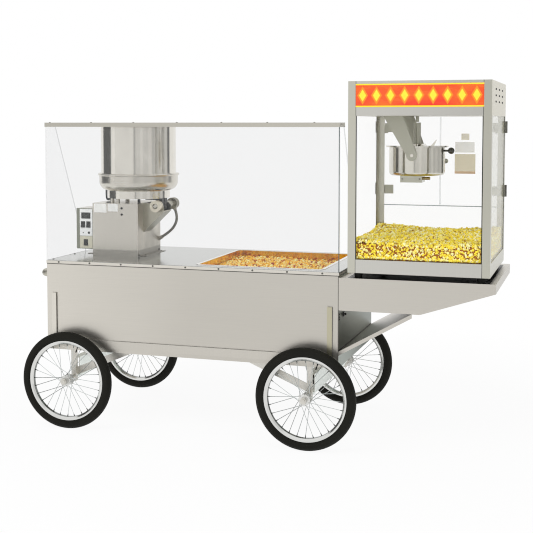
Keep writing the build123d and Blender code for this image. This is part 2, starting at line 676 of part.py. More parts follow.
def tyre_profile():
    """A section of the tyre: a narrow bead between the rim's edges, full sidewalls and a flatter tread."""
    bead = RIM_WIDTH / 2 - RIM_WALL - SEAT_GAP
    bead_in = RIM_BED + SEAT_GAP
    shoulder = RIM_RADIUS + SEAT_GAP
    crown = WHEEL_DIAMETER / 2
    edge = crown - TREAD_DROP
    fullest = (shoulder + edge) / 2
    tread, side = TREAD_WIDTH / 2, TYRE_WIDTH / 2
    return make_face([Polyline((shoulder, -bead), (bead_in, -bead), (bead_in, bead), (shoulder, bead)),
                      ThreePointArc((shoulder, bead), (fullest, side), (edge, tread)),
                      ThreePointArc((edge, tread), (crown, 0), (edge, -tread)),
                      ThreePointArc((edge, -tread), (fullest, -side), (shoulder, -bead))])


def rim_profile():
    """A section of the rim: two edges, a bed for the tyre and a narrower spoke bed."""
    half = RIM_WIDTH / 2
    inner = half - RIM_WALL
    return outline((RIM_RADIUS, -half), (RIM_RADIUS, -inner), (RIM_BED, -inner), (RIM_BED, inner),
                   (RIM_RADIUS, inner), (RIM_RADIUS, half), (RIM_BED, half), (RIM_INSIDE, half / 2),
                   (RIM_INSIDE, -half / 2), (RIM_BED, -half))


def hub_profile():
    """A section of the hub: a barrel with two spoke flanges."""
    bore = AXLE_DIAMETER / 2 + RUNNING_FIT
    end = HUB_LENGTH / 2
    inner = HUB_FLANGE_SPREAD / 2 - HUB_FLANGE_THICK / 2
    outer = HUB_FLANGE_SPREAD / 2 + HUB_FLANGE_THICK / 2
    barrel, flange = HUB_BARREL / 2, HUB_FLANGE / 2
    return outline((bore, -end), (barrel, -end), (barrel, -outer), (flange, -outer), (flange, -inner),
                   (barrel, -inner), (barrel, inner), (flange, inner), (flange, outer), (barrel, outer),
                   (barrel, end), (bore, end))


def spokes():
    """Spokes laced from both hub flanges, leading and trailing in turn, heads in and out in turn."""
    found = []
    per_side = SPOKE_COUNT / 2
    wrap = SPOKE_CROSSINGS * 360 / per_side
    reach = RIM_INSIDE - SPOKE_END_GAP
    for k in range(SPOKE_COUNT):
        side = 1 if k % 2 else -1
        lead = 1 if (k // 2) % 2 else -1
        rim_angle = math.radians(k * 360 / SPOKE_COUNT)
        hub_angle = rim_angle - math.radians(lead * wrap)
        head = lead * (HUB_FLANGE_THICK / 2 + SPOKE_RADIUS + SEAT_GAP)
        y_hub = side * (HUB_FLANGE_SPREAD / 2 + head)
        y_rim = side * RIM_WALL
        hub = Vector(SPOKE_CIRCLE / 2 * math.cos(hub_angle), y_hub, SPOKE_CIRCLE / 2 * math.sin(hub_angle))
        rim_end = Vector(reach * math.cos(rim_angle), y_rim, reach * math.sin(rim_angle))
        along = rim_end - hub
        section = Plane(origin=hub, z_dir=along) * RegularPolygon(SPOKE_RADIUS, 4)
        found.append(extrude(section, along.length))
    return found


wheel_spokes = spokes()
for axle_x, end_name in zip(AXLE_XS, ("left", "right")):
    for side, side_name in ((-1, "front"), (1, "rear")):
        centre = Pos(axle_x, side * WHEEL_Y, AXLE_Z)
        name = f"wheel_{side_name}_{end_name}"
        nodes[f"{name}_tyre"] = centre * revolve(tyre_profile(), Axis.Y)
        nodes[f"{name}_rim"] = centre * revolve(rim_profile(), Axis.Y)
        hub = centre * revolve(hub_profile(), Axis.Y)
        nodes[f"{name}_spokes"] = Compound([hub, *[centre * spoke for spoke in wheel_spokes]])

# Cooker base with rest posts, open to the deck below
BASE_X0 = CAB_X0 + BASE_LEFT
BASE_X1 = BASE_X0 + BASE_WIDTH
BASE_Y0 = CAB_Y0 + BASE_FRONT
BASE_Y1 = BASE_Y0 + BASE_DEPTH
BASE_TOP = DECK_HEIGHT + BASE_HEIGHT
BOWL_X = (BASE_X0 + BASE_X1) / 2 + BOWL_CENTRE_FROM_BASE
BOWL_Y = CAB_Y0 + BOWL_CENTRE_DEPTH
SKIRT_Z0 = BASE_TOP + POST_HEIGHT + SEAT_GAP
PIVOT_X = BASE_X1 + PIVOT_OUT
PIVOT_Z = BASE_TOP - PIVOT_BELOW_TOP
housing = block(BASE_X0, BASE_X1, BASE_Y0, BASE_Y1, DECK_HEIGHT, BASE_TOP)
housing -= block(BASE_X0 + SHEET, BASE_X1 - SHEET, BASE_Y0 + SHEET, BASE_Y1 - SHEET,
                 DECK_HEIGHT - 1, BASE_TOP - SHEET)
housing -= bar_z(BOWL_X, BOWL_Y, MOTOR_SHAFT + 2 * SHAFT_CLEARANCE, BASE_TOP - SHEET - 1, BASE_TOP + 1)
skirt_r = BOWL_DIAMETER / 2 - SKIRT_SET_IN
post_r = skirt_r - POST_DIAMETER
posts = [bar_z(BOWL_X + post_r * math.cos(math.radians(turn)), BOWL_Y + post_r * math.sin(math.radians(turn)),
               POST_DIAMETER, BASE_TOP, BASE_TOP + POST_HEIGHT) for turn in POST_ANGLES]

# Mixer gearmotor hung under the top of the base, its shaft just short of the heater
gearbox = block(BOWL_X - GEARBOX / 2, BOWL_X + GEARBOX / 2, BOWL_Y - GEARBOX / 2, BOWL_Y + GEARBOX / 2,
                BASE_TOP - SHEET - GEARBOX_HEIGHT, BASE_TOP - SHEET)
motor = bar_z(BOWL_X, BOWL_Y, MOTOR_DIAMETER, BASE_TOP - SHEET - GEARBOX_HEIGHT - MOTOR_HEIGHT,
              BASE_TOP - SHEET - GEARBOX_HEIGHT)
motor_shaft = bar_z(BOWL_X, BOWL_Y, MOTOR_SHAFT, BASE_TOP - SHEET, SKIRT_Z0 - MOTOR_SHAFT_GAP)
nodes["mixer_motor"] = gearbox + motor + motor_shaft

# Control box on the left of the base, with a face plate and three rocker switches
BOX_X0 = BASE_X0 - BOX_WIDTH
BOX_Y0 = BASE_Y0
BOX_Z0 = DECK_HEIGHT + BOX_RAISE
FACE_Y0 = BOX_Y0 - FACE_THICK
switch_places = {"heat_switch": (BOX_X0 + SWITCH_MIDDLE - SWITCH_PITCH / 2, BOX_Z0 + SWITCH_ROW),
                 "mixer_switch": (BOX_X0 + SWITCH_MIDDLE + SWITCH_PITCH / 2, BOX_Z0 + SWITCH_ROW),
                 "power_switch": (BOX_X0 + SWITCH_MIDDLE, BOX_Z0 + POWER_ROW)}
control_box = block(BOX_X0, BASE_X0, BOX_Y0, BOX_Y0 + BOX_DEPTH, BOX_Z0, BOX_Z0 + BOX_HEIGHT)
control_box -= block(BOX_X0 + SHEET, BASE_X0 - SHEET, BOX_Y0 + SHEET, BOX_Y0 + BOX_DEPTH - SHEET,
                     BOX_Z0 + SHEET, BOX_Z0 + BOX_HEIGHT - SHEET)
face = block(BOX_X0 + FACE_LEFT, BASE_X0 - FACE_MARGIN / 4, FACE_Y0, BOX_Y0,
             BOX_Z0 + FACE_MARGIN / 2, BOX_Z0 + BOX_HEIGHT - FACE_MARGIN / 2)
half_height = SWITCH_HEIGHT / 2
rise = half_height * math.tan(math.radians(SWITCH_TILT))
switch_outline = [(SWITCH_DEPTH, -half_height / 2), (SWITCH_DEPTH, half_height / 2),
                  (FACE_THICK, half_height), (-SWITCH_PROUD, half_height - SWITCH_DRAFT), (-SWITCH_PROUD, 0),
                  (-SWITCH_PROUD - rise, SWITCH_DRAFT - half_height), (FACE_THICK, -half_height)]
SWITCH_BACK = BOX_Y0 + SHEET
SWITCH_PIVOT_Y = SWITCH_BACK + SWITCH_PIN
housings = []
for switch, (x, z) in switch_places.items():
    half_w, half_h = SWITCH_WIDTH / 2 + SWITCH_FIT, half_height + SWITCH_FIT
    out_w, out_h = half_w + SWITCH_HOUSING_WALL, half_h + SWITCH_HOUSING_WALL
    window = block(x - half_w, x + half_w, FACE_Y0 - 1, SWITCH_BACK + SWITCH_HOUSING_DEPTH,
                   z - half_h, z + half_h)
    control_box -= window
    face -= window
    shell = block(x - out_w, x + out_w, SWITCH_BACK, SWITCH_BACK + SWITCH_HOUSING_DEPTH + SWITCH_HOUSING_WALL,
                  z - out_h, z + out_h)
    pin_hole = bar_x(SWITCH_PIVOT_Y, z, SWITCH_PIN + 2 * RUNNING_FIT, x - out_w - 1, x + out_w + 1)
    housings.append(shell - window - pin_hole)
    rocker = prism_x([(FACE_Y0 + y, z + up) for y, up in switch_outline],
                     x - SWITCH_WIDTH / 2, x + SWITCH_WIDTH / 2)
    nodes[switch] = rocker + bar_x(SWITCH_PIVOT_Y, z, SWITCH_PIN, x - out_w, x + out_w)
nodes["control_box"] = Compound([control_box, *housings])
nodes["control_face"] = face

# Tilt bracket: a folded trough on the base's side whose two cheeks carry the tilt shaft, with a rear cap
CHEEK_Y0 = BOWL_Y - BRACKET_AHEAD
CHEEK_Y1 = CHEEK_Y0 + BRACKET_LENGTH
BRACKET_X1 = BASE_X1 + BRACKET_REACH
cheek_outline = [(BASE_X1, BASE_TOP), (BRACKET_X1 - BRACKET_CUT, BASE_TOP),
                 (BRACKET_X1, BASE_TOP - BRACKET_CUT), (BRACKET_X1, BASE_TOP - BRACKET_LIP_DROP),
                 (BASE_X1, BASE_TOP - BRACKET_DROP)]
trough_outline = [(BASE_X1 - 1, BASE_TOP + 1), (BRACKET_X1 + 1, BASE_TOP + 1),
                  (BRACKET_X1 + 1, BASE_TOP - BRACKET_LIP_DROP + 2 * BRACKET_WALL),
                  (BASE_X1 - 1, BASE_TOP - BRACKET_DROP + 2 * BRACKET_WALL)]
shaft_bore = PIVOT_SHAFT + 2 * RUNNING_FIT
bracket = prism_y(cheek_outline, CHEEK_Y0, CHEEK_Y1)
bracket -= prism_y(trough_outline, CHEEK_Y0 + BRACKET_WALL, CHEEK_Y1 - BRACKET_WALL)
bracket -= bar_y(PIVOT_X, PIVOT_Z, shaft_bore, CHEEK_Y0 - 1, CHEEK_Y1 + 1)
disc_r, groove_r = PIVOT_DISC / 2, PIVOT_GROOVE / 2


def banded_edge(y, bands):
    """(radius, y) points of a turned edge whose bands stand out and step in by turns."""
    points = []
    for k, band in enumerate(bands):
        radius = groove_r if k % 2 else disc_r
        points += [(radius, y), (radius, y + band)]
        y += band
    return points


CAP_LENGTH = PIVOT_SLEEVE_LENGTH + sum(PIVOT_CAP_BANDS)
CAP_Y1 = CHEEK_Y1 + CAP_LENGTH
cap_end = CAP_LENGTH - BRACKET_WALL
cap_profile = outline((shaft_bore / 2, 0), (PIVOT_SLEEVE / 2, 0), (PIVOT_SLEEVE / 2, PIVOT_SLEEVE_LENGTH),
                      *banded_edge(PIVOT_SLEEVE_LENGTH, PIVOT_CAP_BANDS), (0, CAP_LENGTH), (0, cap_end),
                      (shaft_bore / 2, cap_end))
cap = turned_y(cap_profile, PIVOT_X, CHEEK_Y1, PIVOT_Z)
CONDUIT_Y = CAP_Y1 - sum(PIVOT_CAP_BANDS) / 2
exit_x, exit_z = math.cos(math.radians(CONDUIT_EXIT)), math.sin(math.radians(CONDUIT_EXIT))


def beside_pivot(reach):
    """A point this far from the tilt axis, in the direction in which the conduit leaves the cap."""
    return (PIVOT_X + reach * exit_x, CONDUIT_Y, PIVOT_Z + reach * exit_z)


gland_start = Plane(origin=beside_pivot(PIVOT_SLEEVE / 2), z_dir=(exit_x, 0, exit_z))
cap += extrude(gland_start * Circle(CONDUIT_GLAND / 2), disc_r + CONDUIT_GLAND_OUT - PIVOT_SLEEVE / 2)
nodes["tilt_bracket"] = Compound([bracket, cap])

# Tilt shaft with its front disc, and two saddles that carry the heater
shaft = bar_y(PIVOT_X, PIVOT_Z, PIVOT_SHAFT, CHEEK_Y0 - SEAT_GAP, CAP_Y1 - 2 * BRACKET_WALL)
disc_length = sum(PIVOT_DISC_BANDS)
disc_profile = outline((0, 0), *banded_edge(0, PIVOT_DISC_BANDS), (0, disc_length))
shaft += turned_y(disc_profile, PIVOT_X, CHEEK_Y0 - SEAT_GAP - disc_length, PIVOT_Z)
saddles = []
for y0 in (CHEEK_Y0 + BRACKET_WALL + SADDLE_INSET, CHEEK_Y1 - BRACKET_WALL - SADDLE_INSET - SADDLE_LENGTH):
    saddle = block(PIVOT_X - SADDLE_WIDTH / 2, PIVOT_X + SADDLE_WIDTH / 2, y0, y0 + SADDLE_LENGTH,
                   PIVOT_Z - SADDLE_WIDTH / 2, SKIRT_Z0)
    saddle += block(PIVOT_X - SADDLE_REACH, PIVOT_X, y0, y0 + SADDLE_LENGTH, SKIRT_Z0 - SADDLE_ARM, SKIRT_Z0)
    saddles.append(saddle - bar_y(PIVOT_X, PIVOT_Z, shaft_bore, y0 - 1, y0 + SADDLE_LENGTH + 1))
nodes["tilt_shaft"] = Compound([shaft, *saddles])

# Heater skirt, bowl, tall ring guard and mixing paddle
SKIRT_Z1 = SKIRT_Z0 + SKIRT_HEIGHT
BOWL_Z1 = SKIRT_Z1 + BOWL_HEIGHT
heater_r = skirt_r - HEATER_INSET
drive_hole = PADDLE_SHAFT / 2 + SLEEVE_BORE_FIT
skirt_shell = outline((drive_hole, SKIRT_Z0), (skirt_r, SKIRT_Z0), (skirt_r, SKIRT_Z1),
                      (skirt_r - SHEET, SKIRT_Z1), (skirt_r - SHEET, SKIRT_Z0 + SHEET),
                      (drive_hole, SKIRT_Z0 + SHEET))
heater = outline((drive_hole, SKIRT_Z1 - HEATER_THICK), (heater_r, SKIRT_Z1 - HEATER_THICK),
                 (heater_r, SKIRT_Z1), (drive_hole, SKIRT_Z1))
nodes["heater_skirt"] = Compound([turned_z(profile, BOWL_X, BOWL_Y) for profile in (skirt_shell, heater)])
bowl_r = BOWL_DIAMETER / 2
roll_r = BOWL_ROLL / 2


def bowl_side(radius, z_floor, bend):
    """The lower edge of the bowl as a quarter turn from floor to wall."""
    middle = bend * math.sqrt(0.5)
    return ThreePointArc((radius - bend, z_floor), (radius - bend + middle, z_floor + bend - middle),
                         (radius, z_floor + bend))


inner_r, floor_z, inner_bend = bowl_r - BOWL_WALL, SKIRT_Z1 + BOWL_WALL, BOWL_BEND - BOWL_WALL
roll_z = BOWL_Z1 - BOWL_ROLL
sleeve_bore = PADDLE_SHAFT / 2 + RUNNING_FIT
sleeve_r = BOWL_SLEEVE / 2
sleeve_z1 = floor_z + BOWL_SLEEVE_HEIGHT
bowl_profile = make_face([Line((sleeve_bore, SKIRT_Z1), (bowl_r - BOWL_BEND, SKIRT_Z1)),
                          bowl_side(bowl_r, SKIRT_Z1, BOWL_BEND),
                          Line((bowl_r, SKIRT_Z1 + BOWL_BEND), (bowl_r, roll_z)),
                          ThreePointArc((bowl_r, roll_z), (bowl_r + roll_r, roll_z + roll_r),
                                        (bowl_r, BOWL_Z1)),
                          Polyline((bowl_r, BOWL_Z1), (inner_r, BOWL_Z1), (inner_r, floor_z + inner_bend)),
                          bowl_side(inner_r, floor_z, inner_bend),
                          Polyline((inner_r - inner_bend, floor_z), (sleeve_r, floor_z),
                                   (sleeve_r, sleeve_z1), (sleeve_bore, sleeve_z1),
                                   (sleeve_bore, SKIRT_Z1))])
nodes["cooker_bowl"] = turned_z(bowl_profile, BOWL_X, BOWL_Y)
ring_r = bowl_r - GUARD_RING_SET_IN
ring_z1 = BOWL_Z1 + GUARD_RING_HEIGHT
ring_profile = outline((ring_r - SHEET, BOWL_Z1), (bowl_r, BOWL_Z1), (bowl_r, BOWL_Z1 + SHEET),
                       (ring_r, BOWL_Z1 + SHEET), (ring_r, ring_z1), (ring_r - SHEET, ring_z1))
nodes["bowl_guard"] = turned_z(ring_profile, BOWL_X, BOWL_Y)
paddle_z0 = floor_z + SEAT_GAP
paddle_r = sleeve_r + PADDLE_HUB_WALL
shaft_z0 = SKIRT_Z0 + SHEET
hub_top = paddle_z0 + PADDLE_HUB_HEIGHT
cap_in = sleeve_r + SEAT_GAP
cap_z = sleeve_z1 + SEAT_GAP
paddle_profile = outline((0, shaft_z0), (PADDLE_SHAFT / 2, shaft_z0), (PADDLE_SHAFT / 2, cap_z),
                         (cap_in, cap_z), (cap_in, paddle_z0), (paddle_r, paddle_z0), (paddle_r, hub_top),
                         (0, hub_top))
paddle = turned_z(paddle_profile, BOWL_X, BOWL_Y)
blade_z = paddle_z0 + PADDLE_BLADE / 2
blade_length = bowl_r - BOWL_BEND - PADDLE_CLEAR - cap_in
for turn in (0, 180):
    blade = Rot(PADDLE_TILT, 0, 0) * Box(blade_length, PADDLE_BLADE_THICK, PADDLE_BLADE)
    blade = Pos(cap_in + PADDLE_HUB_WALL / 2 + blade_length / 2, 0, 0) * blade
    paddle += Pos(BOWL_X, BOWL_Y, blade_z) * Rot(0, 0, turn) * blade
nodes["mixing_paddle"] = paddle

# Smooth conduit: it leaves the rear cap, bulges away from the base and turns back to a gland on its side
def cord_path(points):
    """Straight runs joined by arcs, each as large as its two runs allow. Prints the radii."""
    radii = []
    for before, corner, after in zip(points, points[1:], points[2:]):
        run_in = Vector(*corner) - Vector(*before)
        run_out = Vector(*after) - Vector(*corner)
        half_turn = math.radians(run_in.get_angle(run_out) / 2)
        radii.append(CORD_ARC_SHARE * min(run_in.length, run_out.length) / math.tan(half_turn))
    print("cord bends", [round(radius) for radius in radii])
    return FilletPolyline(*points, radius=radii)


conduit_start = disc_r + CONDUIT_GLAND_OUT
conduit_route = [beside_pivot(conduit_start), beside_pivot(conduit_start + CONDUIT_FIRST_RUN),
                 *[(PIVOT_X + x, CONDUIT_Y, PIVOT_Z + z) for x, z in CONDUIT_TURNS]]
conduit_path = cord_path(conduit_route)
conduit_section = Circle(CONDUIT_DIAMETER / 2) - Circle(CONDUIT_BORE / 2)
nodes["bowl_conduit"] = sweep((conduit_path ^ 0) * conduit_section, conduit_path)
conduit_end = Vector(*conduit_route[-1])
last_run = (conduit_end - Vector(*conduit_route[-2])).normalized()
gland_length = CONDUIT_GLAND + (conduit_end.X - BASE_X1) / -last_run.X
base_gland = extrude(Plane(origin=conduit_end, z_dir=last_run) * Circle(CONDUIT_GLAND / 2), gland_length)
base_gland -= block(BASE_X0, BASE_X1, BASE_Y0, BASE_Y1, DECK_HEIGHT, BASE_TOP)
nodes["cooker_base"] = Compound([housing, *posts, base_gland])

# Popper base, posts, header and panes
POP_X0 = SHELF_X0 + POPPER_GAP
POP_X1 = POP_X0 + POPPER_WIDTH
POP_Y0 = CAB_Y0 + POPPER_SET_BACK
POP_Y1 = CAB_Y1 - POPPER_BACK
POP_X = (POP_X0 + POP_X1) / 2
POP_Y = (POP_Y0 + POP_Y1) / 2
POP_Z0 = SHELF_TOP + FOOT_HEIGHT
POP_Z1 = POP_Z0 + POPPER_HEIGHT
FLOOR_Z = POP_Z0 + POPPER_BASE_HEIGHT
HEADER_Z0 = POP_Z1 - HEADER_HEIGHT
foot_profile = outline((0, SHELF_TOP), (FOOT_DIAMETER / 2 - FOOT_TAPER, SHELF_TOP),
                       (FOOT_DIAMETER / 2, POP_Z0), (0, POP_Z0))
nodes["popper_feet"] = Compound([turned_z(foot_profile, x, y)
                                 for x in (POP_X0 + FOOT_INSET, POP_X1 - FOOT_INSET)
                                 for y in (POP_Y0 + FOOT_INSET, POP_Y1 - FOOT_INSET)])
tray = block(POP_X0, POP_X1, POP_Y0, POP_Y1, POP_Z0, FLOOR_Z)
nodes["popper_base"] = tray - block(POP_X0 + SHEET, POP_X1 - SHEET, POP_Y0 + SHEET, POP_Y1 - SHEET,
                                    POP_Z0 + SHEET, FLOOR_Z - SHEET)


def corner_post(x_face, y_face, x_in, y_in):
    """An upright angle on a corner of the popper."""
    x_far, y_far = x_face + x_in * POPPER_POST, y_face + y_in * POPPER_POST
    x_wall, y_wall = x_face + x_in * POPPER_POST_WALL, y_face + y_in * POPPER_POST_WALL
    post = block(min(x_face, x_far), max(x_face, x_far), min(y_face, y_far), max(y_face, y_far),
                 FLOOR_Z, HEADER_Z0)
    x_past, y_past = x_far + x_in, y_far + y_in
    return post - block(min(x_wall, x_past), max(x_wall, x_past), min(y_wall, y_past), max(y_wall, y_past),
                        FLOOR_Z - 1, HEADER_Z0 + 1)


uprights = [corner_post(x, y, x_in, y_in) for x, x_in in ((POP_X0, 1), (POP_X1, -1))
            for y, y_in in ((POP_Y0, 1), (POP_Y1, -1))]

header = block(POP_X0, POP_X1, POP_Y0, POP_Y1, HEADER_Z0, POP_Z1)
header -= block(POP_X0 + SHEET, POP_X1 - SHEET, POP_Y0 + SIGN_PANEL_THICK + SHEET, POP_Y1 - SHEET,
                HEADER_Z0 + SHEET, POP_Z1 - SHEET)
panel_z0 = HEADER_Z0 + SIGN_PANEL_RAISE
panel_x0, panel_x1 = POP_X0 + SIGN_PANEL_SIDE, POP_X1 - SIGN_PANEL_SIDE
header -= block(panel_x0, panel_x1, POP_Y0 - 1, POP_Y0 + SIGN_PANEL_THICK, panel_z0,
                panel_z0 + SIGN_PANEL_HEIGHT)
middle_z = (HEADER_Z0 + POP_Z1) / 2 + VENT_PITCH_Z / 2
for row in range(VENT_GRID):
    for column in range(VENT_GRID):
        vent_y = POP_Y + (column - (VENT_GRID - 1) / 2) * VENT_PITCH_Y
        vent_z = middle_z + (row - (VENT_GRID - 1) / 2) * VENT_PITCH_Z
        header -= bar_x(vent_y, vent_z, VENT_DIAMETER, POP_X0 - 1, POP_X1 + 1)
KETTLE_X = POP_X - KETTLE_LEFT
KETTLE_Y = POP_Y
header -= bar_z(KETTLE_X, KETTLE_Y, STUB_DIAMETER + 2 * SHAFT_CLEARANCE, HEADER_Z0 - 1, HEADER_Z0 + SHEET + 1)
nodes["popper_header"] = header
nodes["popper_sign"] = block(panel_x0 + SIGN_PANEL_FIT, panel_x1 - SIGN_PANEL_FIT,
                             POP_Y0 + SHEET, POP_Y0 + SIGN_PANEL_THICK, panel_z0 + SIGN_PANEL_FIT,
                             panel_z0 + SIGN_PANEL_HEIGHT - SIGN_PANEL_FIT)

glass_in = POPPER_POST_WALL
REAR_PANE_TOP = FLOOR_Z + REAR_PANE_HEIGHT
pane_x0, pane_x1 = POP_X0 + GLASS_CORNER, POP_X1 - GLASS_CORNER
front_glass = block(pane_x0, pane_x1, POP_Y0 + glass_in, POP_Y0 + glass_in + GLASS, FLOOR_Z, HEADER_Z0)
rear_glass = block(pane_x0, pane_x1, POP_Y1 - glass_in - GLASS, POP_Y1 - glass_in, FLOOR_Z, REAR_PANE_TOP)
side_y0, side_y1 = POP_Y0 + GLASS_CORNER, POP_Y1 - GLASS_CORNER
left_glass = block(POP_X0 + glass_in, POP_X0 + glass_in + GLASS, side_y0, side_y1, FLOOR_Z, HEADER_Z0)
right_glass = block(POP_X1 - glass_in - GLASS, POP_X1 - glass_in, side_y0, side_y1, FLOOR_Z, HEADER_Z0)
nodes["popper_panes"] = Compound([front_glass, left_glass, right_glass, rear_glass])

heap_in = glass_in + GLASS + SOFT_FIT
heap_y1 = POP_Y1 - heap_in
heap_y0 = POP_Y0 + heap_in
nodes["popped_corn"] = corn_bed(POP_X, (heap_y0 + heap_y1) / 2, POPPER_WIDTH - 2 * heap_in, heap_y1 - heap_y0,
                                GLASS_CORNER, FLOOR_Z, FLOOR_Z + CORN_DEPTH, HEAP_CROWN, CORN_SKIN)

# Popper doors: two clear panels on lift-off hinges
DOOR_Z0 = REAR_PANE_TOP + DOOR_GAP
DOOR_Z1 = HEADER_Z0 - DOOR_GAP
HINGE_Y = POP_Y1 + DOOR_STANDOFF + DOOR_PANE / 2
HINGE_XS = (POP_X0 + HINGE_BARREL / 2, POP_X1 - HINGE_BARREL / 2)
HINGE_ZS = (DOOR_Z0 + HINGE_INSET, DOOR_Z1 - HINGE_INSET)


def hinge_leaf(x, z):
    """A leaf on the post with an upright pin standing on its knuckle."""
    knuckle = bar_z(x, HINGE_Y, HINGE_BARREL, z - HINGE_LENGTH, z)
    leaf = block(x - HINGE_BARREL / 2, x + HINGE_BARREL / 2, POP_Y1, HINGE_Y, z - HINGE_LENGTH, z)
    pin = bar_z(x, HINGE_Y, HINGE_PIN, z, z + HINGE_LENGTH)
    return knuckle + leaf + pin


hinges = [hinge_leaf(x, z) for x in HINGE_XS for z in HINGE_ZS]
nodes["popper_frame"] = Compound([*uprights, *hinges])


def popper_door(x_hinge, inward):
    """A clear door with two hinge knuckles that drop over the pins, and a pull."""
    x0 = x_hinge + inward * (HINGE_BARREL / 2 + DOOR_GAP / 2)
    x1 = POP_X - inward * DOOR_GAP / 2
    panel = block(min(x0, x1), max(x0, x1), HINGE_Y - DOOR_PANE / 2, HINGE_Y + DOOR_PANE / 2,
                  DOOR_Z0, DOOR_Z1)
    pieces = [panel]
    for z in HINGE_ZS:
        z0, z1 = z + SEAT_GAP, z + HINGE_LENGTH
        x_leaf = x0 + inward * HINGE_LEAF
        y_leaf = HINGE_Y + DOOR_PANE / 2
        knuckle = bar_z(x_hinge, HINGE_Y, HINGE_BARREL, z0, z1)
        leaf = block(min(x_hinge, x_leaf), max(x_hinge, x_leaf), y_leaf, y_leaf + HINGE_LEAF_THICK, z0, z1)
        leaf += block(min(x0, x_leaf), max(x0, x_leaf), y_leaf, y_leaf + HINGE_LEAF_THICK,
                      z - HINGE_LEAF_DROP, z0)
        knuckle = knuckle + leaf - bar_z(x_hinge, HINGE_Y, HINGE_PIN + 2 * RUNNING_FIT, z0 - 1, z1 + 1)
        pieces.append(knuckle)
    x_pull = x1 - inward * DOOR_PULL
    pieces.append(bar_y(x_pull, (DOOR_Z0 + DOOR_Z1) / 2, DOOR_PULL, HINGE_Y + DOOR_PANE / 2,
                        HINGE_Y + DOOR_PANE / 2 + DOOR_PULL / 2))
    return Compound(pieces)


nodes["popper_door_left"] = popper_door(HINGE_XS[0], 1)
nodes["popper_door_right"] = popper_door(HINGE_XS[1], -1)

# Kettle pot with its flange and pivot pins, and the terminal box under it
POT_Z1 = HEADER_Z0 - KETTLE_HANG
POT_Z0 = POT_Z1 - KETTLE_HEIGHT
KETTLE_PIVOT_Z = POT_Z1 - KETTLE_PIVOT_DROP
pot_r = KETTLE_DIAMETER / 2
flange_r = pot_r + KETTLE_FLANGE_OUT
pot_inner, pot_floor, pot_bend = pot_r - KETTLE_WALL, POT_Z0 + KETTLE_WALL, KETTLE_BEND - KETTLE_WALL
pot_profile = make_face([Line((0, POT_Z0), (pot_r - KETTLE_BEND, POT_Z0)),
                         bowl_side(pot_r, POT_Z0, KETTLE_BEND),
                         Polyline((pot_r, POT_Z0 + KETTLE_BEND), (pot_r, POT_Z1 - KETTLE_FLANGE_THICK),
                                  (flange_r, POT_Z1 - KETTLE_FLANGE_THICK), (flange_r, POT_Z1),
                                  (pot_inner, POT_Z1),
                                  (pot_inner, pot_floor + pot_bend)),
                         bowl_side(pot_inner, pot_floor, pot_bend),
                         Polyline((pot_inner - pot_bend, pot_floor), (0, pot_floor), (0, POT_Z0))])
pot = turned_z(pot_profile, KETTLE_X, KETTLE_Y)
HANGER_IN = flange_r + HANGER_GAP
HANGER_OUT = HANGER_IN + HANGER_THICK
for side in (-1, 1):
    y0, y1 = sorted((side * (pot_inner + KETTLE_WALL / 2), side * HANGER_OUT))
    pot += bar_y(KETTLE_X, KETTLE_PIVOT_Z, HANGER_PIN, KETTLE_Y + y0, KETTLE_Y + y1)
box_x0 = KETTLE_X - TERMINAL_BOX_LEFT
box_x1 = box_x0 + TERMINAL_BOX_WIDTH
box_y0, box_y1 = KETTLE_Y - TERMINAL_BOX_DEPTH / 2, KETTLE_Y + TERMINAL_BOX_DEPTH / 2
box_z0 = POT_Z0 - TERMINAL_BOX_HEIGHT
terminal_box = block(box_x0, box_x1, box_y0, box_y1, box_z0, POT_Z0)
terminal_box -= block(box_x0 + SHEET, box_x1 - SHEET, box_y0 + SHEET, box_y1 - SHEET,
                      box_z0 + SHEET, POT_Z0 - SHEET)
nose = bar_x(KETTLE_Y, POT_Z0 - TERMINAL_NOSE, TERMINAL_NOSE, box_x1, box_x1 + TERMINAL_NOSE_LENGTH)
nodes["kettle_pot"] = Compound([pot, terminal_box + nose])

# Lid with a collar, the handle with its ball, and the stirrer with its drive sleeve
LID_Z1 = POT_Z1 + LID_THICK
COLLAR_Z1 = LID_Z1 + LID_COLLAR_HEIGHT
shaft_r = STIRRER_SHAFT / 2 + RUNNING_FIT
lid_profile = outline((shaft_r, POT_Z1), (flange_r, POT_Z1), (flange_r, LID_Z1), (LID_COLLAR / 2, LID_Z1),
                      (LID_COLLAR / 2, COLLAR_Z1), (shaft_r, COLLAR_Z1))
lid_disc = turned_z(lid_profile, KETTLE_X, KETTLE_Y)

# The lid is split: its right part is a flap, hinged along Y on a pin between two lugs
split_x = KETTLE_X + LID_SPLIT
LID_PIN_Z = LID_Z1 + LID_BARREL / 2 + SEAT_GAP
far = 2 * flange_r
right_part = block(split_x, split_x + far, KETTLE_Y - far, KETTLE_Y + far, POT_Z1 - 1, COLLAR_Z1 + far)
barrel_half = LID_BARREL / 2
lid_bore = LID_PIN + 2 * RUNNING_FIT
lid = lid_disc - right_part
flap = lid_disc & right_part
flap -= block(split_x - 1, split_x + SEAT_GAP, KETTLE_Y - far, KETTLE_Y + far, POT_Z1 - 1, COLLAR_Z1)
for lug_y in (-LID_COLLAR, LID_COLLAR):
    y0, y1 = KETTLE_Y + lug_y - barrel_half, KETTLE_Y + lug_y + barrel_half
    lug = block(split_x - LID_BARREL, split_x, y0, y1, LID_Z1, LID_PIN_Z)
    lid += lug + bar_y(split_x, LID_PIN_Z, LID_BARREL, y0, y1)
lid += bar_y(split_x, LID_PIN_Z, LID_PIN, KETTLE_Y - LID_COLLAR, KETTLE_Y + LID_COLLAR)
knuckle_y = LID_COLLAR - barrel_half - SEAT_GAP
knuckle = bar_y(split_x, LID_PIN_Z, LID_BARREL, KETTLE_Y - knuckle_y, KETTLE_Y + knuckle_y)
